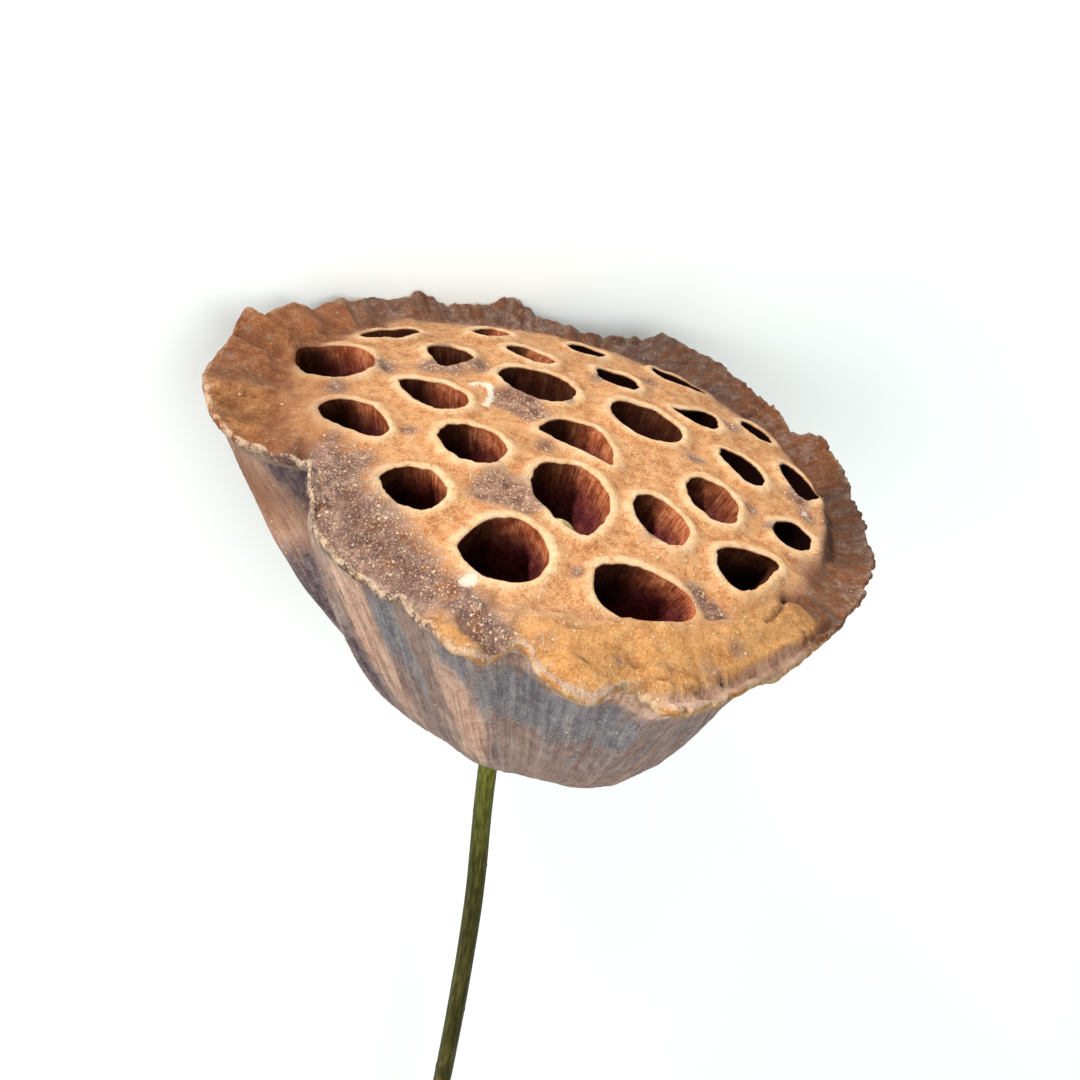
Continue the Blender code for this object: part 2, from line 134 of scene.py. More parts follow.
# How it lies
LIE_TURN = -28.9
LIE_TIP = 12.7
LIE_PLACE = (2.51, -102.69, 49.05)

# How fine the meshes are
AROUND = 720
FLANGE_STEP = 0.55
FILL_STEP = 0.55
OUTLINE_STEP = 0.5
LIP_RINGS = (0.3, 0.65, 1.05, 1.5)
CHAMBER_RINGS = 22
WALL_RINGS = 104
STEM_SIDES = 56
STEM_RINGS = 420
CHANNEL_SIDES = 16
SEED_SIDES = 64
SEED_ROWS = 40

# The masks that the pod's material reads, and the pod's two pieces
MASKS = "lip well disc gold rust grey blue purple plum tan wax dark dim edge".split()
TOP = 0
WALL = 1


def noise(points, seed=0):
    """Smooth noise from -1 to 1, with cells one unit wide."""
    cell = np.floor(points).astype(np.int64)
    f = points - cell
    f = f * f * (3 - 2 * f)
    total = np.zeros(len(points))
    for corner in np.ndindex(2, 2, 2):
        h = seed * 668265263
        for k, prime in enumerate((73856093, 19349663, 83492791)):
            h = h ^ ((cell[:, k] + corner[k]) * prime)
        h = ((h ^ (h >> 13)) * 1274126177) & 0x7FFFFFFF
        h = (h ^ (h >> 15)) & 0xFFFF
        share = np.where(corner, f, 1 - f)
        total += share[:, 0] * share[:, 1] * share[:, 2] * (h / 32767.5 - 1)
    return total


def layered(points, octaves, seed=0):
    """Noise in several sizes, each half as large and half as strong as the one before."""
    return sum(noise(points * 2.0**k + 17.3 * k, seed + k) * 0.5**k for k in range(octaves))


def creased(points, octaves, seed=0):
    """Noise with sharp crests, from about -1 to 1."""
    sharp = [1 - 2.6 * np.abs(noise(points * 2.0**k + 11.1 * k, seed + k)) for k in range(octaves)]
    return sum(value * 0.5**k for k, value in enumerate(sharp))


def smooth(value, low, high):
    """0 below low, 1 above high, smooth in between."""
    t = np.clip((value - low) / (high - low), 0, 1)
    return t * t * (3 - 2 * t)


def bell(value, width):
    """1 at 0, and nearly 0 from twice the width on."""
    return np.exp(-(value / width)**2)


def spline(at, known, value, slope):
    """A smooth curve through known places, with a value and a slope at each."""
    i = np.clip(np.searchsorted(known, at, side="right") - 1, 0, len(known) - 2)
    step = known[i + 1] - known[i]
    t = np.clip((at - known[i]) / step, 0, 1)
    return ((2 * t**3 - 3 * t**2 + 1) * value[i] + (t**3 - 2 * t**2 + t) * step * slope[i]
            + (3 * t**2 - 2 * t**3) * value[i + 1] + (t**3 - t**2) * step * slope[i + 1])


def cyclic_curve(angles, points, column):
    """A smooth closed curve of one column of points against their angle in degrees."""
    known, value = np.array([(p[0], p[column]) for p in points], float).T
    known = np.concatenate([known - 360, known, known + 360])
    value = np.tile(value, 3)
    slope = np.zeros_like(value)
    slope[1:-1] = (value[2:] - value[:-2]) / (known[2:] - known[:-2])
    return spline(np.mod(angles, 360), known, value, slope)


def open_curve(at, points):
    """A smooth open curve through (place, value) points."""
    known, value = np.array(points, float).T
    return spline(at, known, value, np.gradient(value, known))


def swell(angles, middle, spread):
    """A smooth bump round one angle, 1 at its middle."""
    return bell((angles - middle + 180) % 360 - 180, spread)


def between(angles, start, end, soft=6.0):
    """1 from one angle to the next, going anticlockwise, with soft ends."""
    half = (end - start) % 360 / 2
    away = np.abs((angles - (start + half) + 180) % 360 - 180)
    return 1 - smooth(away, half - soft, half + soft)


def circle(r, angles):
    """Flat points at distances and angles from the middle."""
    a = np.radians(angles)
    return np.stack([r * np.cos(a), r * np.sin(a)], -1)


def turns(count):
    """Even angles all round."""
    return np.arange(count) * 360 / count


def polar(x, y):
    """The angle and the distance from the middle."""
    return np.degrees(np.arctan2(y, x)), np.hypot(x, y)


ROUND = turns(AROUND)


def round_places(angles, scale=1.0, along=0.0, radius=BODY_RADIUS):
    """Places round a circle and along it, for noise without a seam and for fibres."""
    return np.column_stack([circle(radius, angles) / scale, np.broadcast_to(along, len(angles))])


def flat_places(points, scale):
    """Places on the face, for noise."""
    return np.column_stack([points / scale, np.zeros(len(points))])


def rim_ragged(angles):
    """How far the torn edge stands out from the even rim."""
    coarse, fine, tiny = (round_places(angles, scale) for scale in (2.6, 0.9, 0.45))
    frayed = between(angles, 342, 30, 8)
    crumbly = 0.35 + 0.8 * between(angles, 262, 335, 10)
    away = 0.14 * noise(coarse, 3) + (0.14 * noise(fine, 4) + 0.08 * noise(tiny, 6)) * crumbly
    away -= 0.9 * smooth(noise(fine, 13), 0.45, 0.8) * smooth(noise(coarse, 14), 0.1, 0.5)
    away += frayed * (0.9 * np.clip(noise(tiny, 5), 0, 1) - 0.15)
    return away - 2.6 * swell(angles, 294.4, 1.0) - swell(angles, 292.6, 2.2)


def rim_radius(angles):
    return cyclic_curve(angles, RIM, 1) + rim_ragged(angles)


def rim_height(angles):
    rough = 0.2 * noise(round_places(angles, 3.5), 7) + 0.07 * noise(round_places(angles, 1.1), 8)
    return cyclic_curve(angles, RIM, 2) + rough


def disc_edge(angles):
    """Distance from the pod's axis to the edge of the disc."""
    along, across = circle(1.0, angles) @ DISC_MIDDLE, circle(1.0, angles + 90) @ DISC_MIDDLE
    edge = along + np.sqrt(DISC_RADIUS**2 - across**2)
    return np.minimum(edge, cyclic_curve(angles, RIM, 1) - FLANGE_LEAST)


def flange_share(angles, r):
    """0 on the disc, 1 at the rim."""
    edge = disc_edge(angles)
    return np.clip((r - edge) / (rim_radius(angles) - edge), 0, 1)


def face_places(x, y):
    """Each place as a point, an angle, a distance from the axis and a share of the flange's width."""
    angles, r = polar(x, y)
    return np.stack([x, y], -1), angles, r, flange_share(angles, r)


def dome(x, y):
    r = np.hypot(x - DISC_MIDDLE[0], y - DISC_MIDDLE[1])
    return DISC_TOP - DISC_DROP * np.minimum(r / DISC_RADIUS, 1.0)**3


def face_height(x, y):
    """Height of the pod's top without its lips: the dome, then the flange out to the rim."""
    _, angles, r, t = face_places(x, y)
    shrink = np.minimum(r, disc_edge(angles)) / np.maximum(r, 1e-9)
    groove = sum(depth * swell(angles, middle, spread) for middle, spread, depth in FLANGE_GROOVES)
    height = dome(x * shrink, y * shrink)
    return height + (rim_height(angles) - height) * smooth(t, 0, 1) - groove * np.sin(math.pi * t**0.7)


def chamber_outline(chamber, grow=0.0):
    """The outline of one opening, with its small torn edges, moved outwards by grow."""
    x, y, length, width, turn, point, bend = chamber
    count = max(24, round(math.pi * (length / 2 + width / 2) / OUTLINE_STEP))
    t = np.linspace(0, 2 * math.pi, count, endpoint=False)
    own = x * 3.7 + y
    torn = 0.3 * noise(round_places(np.degrees(t), 0.42, own, 1.0), 11)
    torn += 0.2 * noise(round_places(np.degrees(t), 0.13, own, 1.0), 12)
    torn *= math.exp(-grow / 0.8)
    u = (length / 2 + grow + torn) * np.cos(t)
    v = (width / 2 + grow + torn) * np.sin(t) * (1 - point * np.cos(t))
    v += width / 2 * bend * (np.cos(t)**2 - 0.5)
    c, s = math.cos(math.radians(turn)), math.sin(math.radians(turn))
    return np.stack([x + u * c - v * s, y + u * s + v * c], -1)


def path_distance(points, path):
    """Distance from each point to an open path."""
    nearest = np.full(len(points), 1e9)
    path = np.array(path, float)
    for start, along in zip(path[:-1], path[1:] - path[:-1]):
        t = np.clip((points - start) @ along / (along @ along), 0, 1)
        away = points - start - t[:, None] * along
        nearest = np.minimum(nearest, np.hypot(away[:, 0], away[:, 1]))
    return nearest


def mark(points, path, width):
    """1 on a path, and nearly 0 from twice the width on."""
    return bell(path_distance(points, path), width)


def spots(points, listed):
    """Sum of soft round spots, as (x, y, size), 1 at the most."""
    return np.minimum(sum(bell(np.hypot(*(points - [x, y]).T), size) for x, y, size in listed), 1.0)


def inside(points, outline):
    """Which points lie inside a closed outline."""
    odd = np.zeros(len(points), bool)
    for (ax, ay), (bx, by) in zip(outline, np.roll(outline, -1, axis=0)):
        crosses = (ay > points[:, 1]) != (by > points[:, 1])
        at = ax + (points[:, 1] - ay) / (by - ay if by != ay else 1.0) * (bx - ax)
        odd ^= crosses & (points[:, 0] < at)
    return odd


def clearance(points, outlines, reach=7.0):
    """Distance from each point to the nearest opening, up to reach, negative inside one."""
    nearest = np.full(len(points), reach)
    for outline in outlines:
        low, high = outline.min(axis=0) - reach, outline.max(axis=0) + reach
        close = np.flatnonzero(((points > low) & (points < high)).all(axis=1))
        distance = path_distance(points[close], np.vstack([outline, outline[:1]]))
        distance = np.where(inside(points[close], outline), -distance, distance)
        nearest[close] = np.minimum(nearest[close], distance)
    return nearest


def fill(loops, others=np.zeros((0, 2))):
    """Fills closed loops, and uses other points too. Returns points, triangles and each loop's numbers."""
    edges, numbers = [], []
    start = 0
    for loop in loops:
        own = np.arange(start, start + len(loop))
        edges += zip(own.tolist(), np.roll(own, -1).tolist())
        numbers.append(own)
        start += len(loop)
    listed = np.concatenate([*loops, others])
    result = delaunay_2d_cdt([Vector(p) for p in listed], edges, [], 0, 1e-6)
    found = {i: k for k, source in enumerate(result[3]) for i in source}
    points = np.array([tuple(p) for p in result[0]])
    return points, np.array(result[2]), [np.array([found[i] for i in own]) for own in numbers]


def vertex_normals(points, triangles):
    a, b, c = points[triangles[:, 0]], points[triangles[:, 1]], points[triangles[:, 2]]
    face = np.cross(b - a, c - a)
    total = np.zeros_like(points)
    for k in range(3):
        np.add.at(total, triangles[:, k], face)
    return total / np.maximum(np.linalg.norm(total, axis=1, keepdims=True), 1e-20)


def laid_down():
    """From the pod's own frame, in millimetres, to the surface that it lies on, in metres."""
    on_side = Matrix.Rotation(math.pi, 4, "Z") @ Matrix.Rotation(-math.pi / 2, 4, "X")
    turned = on_side @ Matrix.Rotation(math.radians(LIE_TURN), 4, "Z")
    tipped = Matrix.Rotation(math.radians(-LIE_TIP), 4, "X") @ turned
    return Matrix.Scale(MM, 4) @ Matrix.Translation(LIE_PLACE) @ tipped


def lay(points):
    """Lays points down, and flattens what would reach below the surface."""
    m = np.array(laid_down())
    placed = points @ m[:3, :3].T + m[:3, 3]
    placed[:, 2] = np.maximum(placed[:, 2], 0.0)
    return placed


def mesh_object(name, points, triangles, material, values, normals=None):
    """An object with a vector or a number at each point under each name in values."""
    mesh = bpy.data.meshes.new(name)
    mesh.from_pydata(points.tolist(), [], triangles.tolist())
    for key, value in values.items():
        kind, field = ("FLOAT_VECTOR", "vector") if value.ndim == 2 else ("FLOAT", "value")
        layer = mesh.attributes.new(key, kind, "POINT")
        layer.data.foreach_set(field, value.astype(np.float32).ravel())
    mesh.shade_smooth()
    if normals is not None:
        mesh.normals_split_custom_set_from_vertices(normals.tolist())
    mesh.materials.append(material)
    thing = bpy.data.objects.new(name, mesh)
    bpy.context.scene.collection.objects.link(thing)
    return thing


class Shape:
    """Points, triangles and masks, built up region by region."""

    def __init__(self, masks=()):
        self.points, self.fibres, self.triangles, self.owners = [], [], [], []
        self.masks = {name: [] for name in masks}
        self.count = 0

    def add(self, points, fibres=0.0, **masks):
        """Adds points and what each is made of, and returns their numbers."""
        points = np.array(points, float)
        self.points.append(points)
        self.fibres.append(np.broadcast_to(fibres, points.shape))
        for name, values in self.masks.items():
            values.append(np.broadcast_to(masks.get(name, 0.0), len(points)))
        self.count += len(points)
        return np.arange(self.count - len(points), self.count)

    def join(self, triangles, owner=TOP, flip=False):
        self.triangles.append(triangles[:, ::-1] if flip else triangles)
        self.owners.append(np.full(len(triangles), owner))

    def bridge(self, upper, lower, owner=TOP, flip=False):
        """Joins two rings of equally many points."""
        up, low = np.roll(upper, -1), np.roll(lower, -1)
        self.join(np.stack([upper, up, low], -1), owner, flip)
        self.join(np.stack([upper, low, lower], -1), owner, flip)

    def close(self, ring, tip, owner=TOP, flip=False):
        """Joins a ring to one point."""
        self.join(np.stack([ring, np.roll(ring, -1), np.full(len(ring), tip)], -1), owner, flip)

    def pieces(self, names, material):
        """Makes an object for each owner, laid down. Where there are several, they shade as one."""
        values = {"place": self.points, "fibre": self.fibres, **self.masks}
        values = {key: np.concatenate(value) for key, value in values.items()}
        placed = lay(values["place"])
        triangles, owners = np.concatenate(self.triangles), np.concatenate(self.owners)
        normals = vertex_normals(placed, triangles)
        things = []
        for owner, name in enumerate(names):
            used, own = np.unique(triangles[owners == owner], return_inverse=True)
            picked = {key: value[used] for key, value in values.items()}
            shared = normals[used] if len(names) > 1 else None
            things.append(mesh_object(name, placed[used], own.reshape(-1, 3), material, picked, shared))
        return things


# Places on the face, in millimetres: mauve blotches, plum dots, chambers darkened as painted shade and waxy
# spots as (x, y, size), ridges and hollows as (path, height, width), cracks, and the speckled band's middle
# line
BLOTCHES = [
    (-5.8, 7.1, 3.2), (-8.6, 7.6, 2.6), (-3, 4.9, 2.4), (-4.8, -17.4, 3.4), (-6.2, -20.6, 2.8),
    (-2.2, -19.8, 2.6), (-0.2, -21.6, 2.2), (-0.4, -4, 1.7), (8.9, -32, 1.2), (17.7, -19.5, 1.5),
    (-17.8, 12.8, 2.4), (-13.9, 16.4, 2.5), (4.6, 23.2, 1.8), (22.3, 7, 1.8), (25.3, -26.6, 1.8),
    (27.2, -28.9, 2.4), (29.4, -29.8, 1.8), (38.9, 8.8, 2.4), (40.8, 4.5, 1.8), (31.6, -2, 1.3),
    (34.6, -5, 1.3), (27.1, 24, 2.2), (-27.6, 9.6, 2.6), (-32.8, 0.1, 2), (-21.1, 11.7, 2.2),
    (-29.9, -14.8, 1.8), (-19.9, -9.2, 1.5), (-24.8, -18.7, 2.8), (-26.5, -22.8, 2.8), (-20.4, 20, 1.8),
    (-2.9, 15.4, 1.6), (0.9, 11.8, 1.3), (12.6, 31, 1.8), (-20, -31.5, 2.6),
]
PLUM_DOTS = [
    (-6.6, 10.6, 0.8), (-4.6, 8.2, 0.7), (-3.2, 6, 0.8), (-6.5, -13.2, 0.7), (-4.2, -17.6, 0.9),
    (-6.6, -21.9, 0.9), (-17.4, 14, 0.8), (-15.8, 15.6, 0.6), (25.9, -26.1, 0.7), (28.2, -27.8, 0.9),
    (29.7, -29.4, 0.7), (-19.2, 18.8, 0.8), (39.4, 7.6, 0.8), (-2, -20.4, 0.8), (-8.2, 8.4, 0.7),
    (-27.4, 8.8, 0.8),
]
RIDGES = [
    ([(-43.6, 13), (-47, 14), (-52, 16.5)], 1, 1.2), ([(-42, 15.8), (-50, 20)], -0.7, 1.6),
    ([(-40, 20.5), (-47, 26)], 0.7, 1.5), ([(-36, 25), (-40, 33)], 0.8, 1.3),
    ([(-38.6, 23), (-43.5, 29.5)], -0.5, 1.5), ([(-32, 28.5), (-35, 37.5)], -0.5, 1.6),
    ([(-28, 33), (-28.5, 42)], 0.5, 1.5), ([(-48.6, -6), (-44.5, -5.4), (-39, -5)], 0.9, 1.1),
    ([(-45.5, -9.5), (-40, -10.5)], -0.8, 1.8), ([(-45, 5.5), (-51, 7)], 0.5, 1.8),
    ([(-44, 9), (-50.5, 11.5)], -0.6, 1.5), ([(-43, 1), (-50, -1)], -0.4, 1.8),
    ([(39, -19), (41, -18.2), (45, -19.6)], -1, 0.9), ([(-4, -45.6), (0.6, -48)], -0.9, 1),
    ([(4, -46), (9, -48.4), (15, -50.2), (21, -50)], 0.6, 1.4),
    ([(26, -49.2), (33, -44), (38, -37)], 0.6, 1.5), ([(21, -46.5), (19, -50.5)], -0.9, 0.9),
    ([(-31.5, -18.5), (-29, -27), (-22, -36)], 0.5, 1), ([(-33.4, -16.2), (-32, -19)], -1, 0.9),
    ([(-25, -27), (-19.5, -33), (-12, -39.5)], -0.4, 1.6), ([(43, -6), (44, 4), (42, 12)], 0.6, 1.1),
]
CRACKS = [
    [(38.8, -18.1), (38.3, -19.9), (37.8, -22.8), (36.7, -25.9), (35.7, -27.5)],
    [(9.5, -43.2), (12.2, -42.6)],
    [(18, -43.6), (21.5, -43.9), (25, -43.2), (28.5, -42.2), (31, -41), (33, -39.6)],
    [(21, -45.6), (26, -45.4), (30, -43.6)], [(-9, -46), (-5, -46.4)],
]
SHADOWED_CHAMBERS = [(-19, 16.5, 4), (-4.5, 14.5, 5), (13.5, 12.5, 4), (32.5, -17.5, 5), (-29.5, 23.5, 6)]
WAX_CRESCENT = [
    (-13.9, 9.2), (-13, 10.2), (-11.9, 10.2), (-11, 9.2), (-10.5, 7.4), (-10.4, 5.4), (-10.7, 3.6),
]
WAX_SPOTS = [(-5.4, -39.3, 0.9), (-4.2, -39, 0.8), (-3.7, -37.3, 0.6), (-3.4, -42, 0.45), (40.4, 5.2, 0.5)]
BAND = [(-30.2, -21.5), (-27.2, -26), (-23, -30.5), (-18.5, -34.5), (-12, -38.8), (-5, -43), (1, -46.5)]
GREY_PATCHES = [
    (25.8, 41.6, 2.2), (25, 42.4, 1.6), (-51, -0.7, 2.4), (-50.5, 4, 1.8), (-25, 41, 4), (-7, 47, 4.5),
    (10, 50, 5), (51, 6, 4), (49, -9, 3.5), (0.2, -47.6, 2.4),
]
SMUDGES = [(6.6, -46.3, 1.6), (29.7, -40, 2), (17.1, -44.9, 1.2), (32, -35, 1.6)]
SLIVERS = [([(11.2, -47.6), (13.4, -48.3)], 0.3), ([(21.4, -48.6), (21.6, -52)], 0.7)]
RIDGE_RISE = 1.55
CRACK_WIDTH = 0.3
# Dark lines: along the cracks, partly painted shade, and along the hollows between the ridges, painted shade
DARK_LINES = [(crack, 1.0 if crack is CRACKS[0] else 0.6, CRACK_WIDTH) for crack in CRACKS]
DARK_LINES += [(path, 0.42, width) for path, rise, width in RIDGES if rise < 0]

# How far down a fibre's place changes by one, the circle for the flange's noise, and how far below the
# face the chambers' middle lines meet
FIBRE_FALL = 8
FLANGE_RADIUS = 46
FOCUS_DEPTH = 78


def edge_strength(angles):
    """How pale the rim's edge is."""
    return 0.35 + 0.65 * between(angles, 186, 336, 6)


def face_masks(x, y, distance):
    """What each place on the pod's top is made of, and where shade is painted on it."""
    at, angles, r, t = face_places(x, y)
    broken = layered(flat_places(at, 5.0), 3, 21)
    outside = r - disc_edge(angles)
    on_flange = smooth(outside + 1.3 * broken, -3.0, 3.5)
    left, far = between(angles, 140, 203, 8), between(angles, 28, 140, 10)
    right = between(angles, 330, 28, 8)
    width = (6.0 - 3.6 * smooth(x, -22, -3)) * (1 + 0.25 * broken)
    band = mark(at, BAND, width) * smooth(-y + broken, 12.5, 18.5)
    grey = 0.5 * far * smooth(broken, -0.5, 0.5) + 0.15 * right * smooth(t, 0.3, 0.8)
    grey = grey + 0.4 * spots(at, GREY_PATCHES)
    curled = smooth(t, 0.75 - 0.05 * broken, 0.86) * between(angles, 296, 338, 3)
    curled += smooth(t, 0.9 - 0.03 * broken, 0.98) * between(angles, 266, 291, 3)
    # Painted shade: a dark line in the groove at the disc's edge on the right, and dark lines along the
    # hollows; the cracks and slivers are darkened too, the cracks partly as painted shade
    gap = bell(outside - 0.9 - 0.5 * broken, 1.0)
    dark = 0.55 * gap * between(angles, 336, 66, 10) * smooth(broken, -0.6, 0.2)
    for path, strength, width in DARK_LINES:
        dark = np.maximum(dark, strength * mark(at, path, width))
    golden = between(angles, 258, 334, 6) * smooth(r + 1.5 * broken, 36, 47) * (1 - band) * (1 - curled)
    rusty = left + far + right
    plum = 0.16 * left + 0.52 * far * (1 - 0.6 * between(angles, 22, 64, 8)) + 0.5 * right
    masks = {
        "lip": bell(distance, LIP_WIDTH),
        "disc": 1 - on_flange,
        "gold": golden + on_flange * (0.25 * between(angles, 182, 200, 5) + 0.12 * left),
        "rust": (0.5 * smooth(-x - 0.3 * y, 20, 40) + on_flange * rusty
                 + 0.45 * between(angles, 304, 332, 8) * smooth(r, 38, 50)),
        "tan": curled,
        "grey": on_flange * grey + band + 0.55 * spots(at, SMUDGES),
        "purple": spots(at, BLOTCHES) * (1 - on_flange),
        "plum": spots(at, PLUM_DOTS) + on_flange * plum,
        "wax": mark(at, WAX_CRESCENT, 0.62) + spots(at, WAX_SPOTS),
        "dark": dark + sum(mark(at, path, width) for path, width in SLIVERS),
        "edge": smooth(t, 0.91, 1.0) * edge_strength(angles),
    }
    masks = {name: np.clip(value, 0, 1) for name, value in masks.items()}
    # Painted shade: the flange on the left, far and right side, its curled-down near edge, and the disc
    # towards its left and far side are darkened as if shade fell there
    shade = 0.45 * left + 0.8 * far + 0.4 * right + 0.8 * curled
    shade += 0.9 * between(angles, 0, 28, 8) + 0.45 * between(angles, 50, 92, 10)
    on_disc = (0.55 * smooth(-x, 8, 45) + 0.35 * smooth(y, 5, 35)) * (1 - on_flange)
    return {**masks, "dim": on_disc + on_flange * np.clip(shade, 0, 1.3)}


def face_relief(x, y, distance):
    """Low relief on the pod's top: lips, granules, wrinkles, cracks and the crumbly edge."""
    at, angles, r, t = face_places(x, y)
    off = smooth(distance, 0.2, 2.0)
    crest = 1 - LIP_INNER_DROP * bell(distance, LIP_INNER_WIDTH)
    uneven = 1 + 0.3 * noise(flat_places(at, 3.0), 31)
    height = LIP_HEIGHT * crest * bell(distance, LIP_WIDTH) * uneven
    height += off * 0.3 * layered(flat_places(at, 4.5), 3, 32)
    height += (0.05 + 0.05 * off) * noise(flat_places(at, 0.9), 33)
    height -= 0.3 * spots(at, BLOTCHES) * off * (1 - smooth(t, 0, 0.3))
    on_flange = smooth(t, 0.05, 0.35)
    far = between(angles, 334, 130, 10)
    radial = layered(round_places(angles, 4.2, r / 22, FLANGE_RADIUS), 3, 34)
    height += 0.7 * on_flange * radial * (between(angles, 130, 262, 10) + 0.7 * far)
    height += 0.3 * on_flange * far * creased(round_places(angles, 1.1, r / 12, FLANGE_RADIUS), 2, 37)
    near = smooth(r, 37, 43) * between(angles, 250, 336, 8)
    height += 0.26 * near * creased(round_places(angles, 9, r / 1.7, FLANGE_RADIUS), 3, 35)
    height += 0.25 * smooth(t, 0.84, 0.97) * noise(flat_places(at, 1.3), 36)
    height += 0.3 * smooth(t, 0.8, 0.97) * between(angles, 186, 290, 8)
    height += between(angles, 296, 338, 3) * (0.5 * bell(t - 0.76, 0.05) - 0.6 * bell(t - 0.87, 0.05))
    for crack in CRACKS:
        height -= (0.8 if crack is CRACKS[0] else 0.3) * mark(at, crack, 1.1 * CRACK_WIDTH)
    height += 0.4 * mark(at, BAND, 5.5) * off * creased(flat_places(at, 3.2), 3, 38)
    for path, rise, width in RIDGES:
        height += RIDGE_RISE * rise * mark(at, path, width)
    return height + 0.3 * mark(at, WAX_CRESCENT, 0.6)


def face_points(outlines):
    """Points that fill the face: rings on the flange, rings round the lips and a grid in between."""
    edge, rim = disc_edge(ROUND), rim_radius(ROUND)
    width = (rim - edge).max()
    rings = []
    for k, share in enumerate(np.arange(0, 1 - 0.5 * FLANGE_STEP / width, FLANGE_STEP / width)):
        keep = (np.arange(AROUND) % 2 == k % 2) | (share > 0.9)
        rings.append(circle(edge + (rim - edge) * share, ROUND)[keep])
    lips = [chamber_outline(chamber, grow) for grow in LIP_RINGS for chamber, _ in CHAMBERS]
    half = int(60 / FILL_STEP)
    i, j = np.meshgrid(np.arange(-half, half + 1), np.arange(-half, half + 1))
    grid = np.stack([(i + 0.5 * (j % 2)) * FILL_STEP, j * FILL_STEP * 0.866], -1).reshape(-1, 2)
    angles, r = polar(*grid.T)
    grid = grid[r < disc_edge(angles) - 0.3]
    parts = [(np.concatenate(rings), 0.5), (np.concatenate(lips), 0.22), (grid, 1.8)]
    return np.concatenate([part[clearance(part, outlines) > free] for part, free in parts])


def build_face(shape, outlines):
    """The pod's top. Returns its points, and the numbers of the rim's points and each opening's."""
    rim_loop = circle(rim_radius(ROUND), ROUND)
    flat, triangles, loops = fill([rim_loop] + outlines, face_points(outlines))
    middles = flat[triangles].mean(axis=1)
    keep = inside(middles, rim_loop) & (clearance(middles, outlines, 1.0) > 0)
    distance = np.maximum(clearance(flat, outlines), 0)
    x, y = flat.T
    points = np.column_stack([flat, face_height(x, y) + face_relief(x, y, distance)])
    angles, r = polar(x, y)
    fibres = round_places(angles, along=(r - rim_radius(angles)) / FIBRE_FALL)
    index = shape.add(points, fibres, **face_masks(x, y, distance))
    shape.join(index[triangles[keep]], TOP)
    return points, [index[loop] for loop in loops]


def build_chamber(shape, points, loop, chamber, depth):
    """A chamber's wall and rounded floor, with fibres that run down it."""
    x, y, length, width = chamber[:4]
    top = points[loop]
    level = face_height(*np.array([[x], [y]], float))[0] + 0.5
    axis = np.array([x, y, top[:, 2].mean()])
    focus = np.array([*BASE_MIDDLE, level - FOCUS_DEPTH])
    turn = turns(len(loop))
    size = (length + width) / 4
    # Painted shade: chambers towards the far right and the listed shadowed ones are darkened all through, and
    # each chamber's wall more so on its left side
    dim = max(2.4 * smooth(0.7 * (x + y), 8, 24), 2.1 * spots(np.array([[x, y]]), SHADOWED_CHAMBERS)[0])
    reach = top - axis
    shaded = 2.2 * smooth(-reach[:, 0] / np.hypot(reach[:, 0], reach[:, 1]), -0.35, 0.7)
    upper = loop
    for share in np.linspace(0, 1, CHAMBER_RINGS + 1)[1:]**1.25:
        deep = share * depth
        sink = deep / (axis[2] - focus[2])
        level_share = 0.25 + 0.75 * (1 - smooth(share, 0.0, 0.12))
        ridges = layered(round_places(turn, 0.7, deep / 9 + x, size), 3, 41)
        uneven = 0.14 / size * ridges * smooth(share, 0.02, 0.2)
        spread = (1 - sink) * open_curve(share, CHAMBER_TAPER) + uneven
        ring = axis + (focus - axis) * sink + reach * [1, 1, level_share] * spread[:, None]
        fibres = round_places(turn, 1.0, deep / FIBRE_FALL, size) + [3 * x, 3 * y, 0]
        lower = shape.add(ring, fibres, well=0.12 + 0.88 * share, dim=np.maximum(dim, shaded),
                          lip=bell(deep, 0.5), disc=1.0)
        shape.bridge(upper, lower, TOP)
        upper = lower
    end = axis + (focus - axis) * (depth * 1.06 / (axis[2] - focus[2]))
    tip = shape.add([end], [3 * x, 3 * y, depth / FIBRE_FALL], well=1.0, dim=dim, disc=1.0)
    shape.close(upper, tip, TOP)


def wall_profile(angles, depth):
    lean, full = open_curve(depth, LEAN_WALL), open_curve(depth, FULL_WALL)
    side = FULL_SIDE + FULL_TURN * (depth / BODY_DEPTH)**2
    return lean + (full - lean) * swell(angles, side, FULL_SPREAD)


def flow_angles(low):
    """Where round the rim the fibre starts that passes each angle at this share of the depth."""
    tops, bases = np.array(FOLDS, float).T[:2]
    start = ROUND
    for _ in range(3):
        start = ROUND - np.interp(start, tops, bases - tops, period=360) * low
    return start


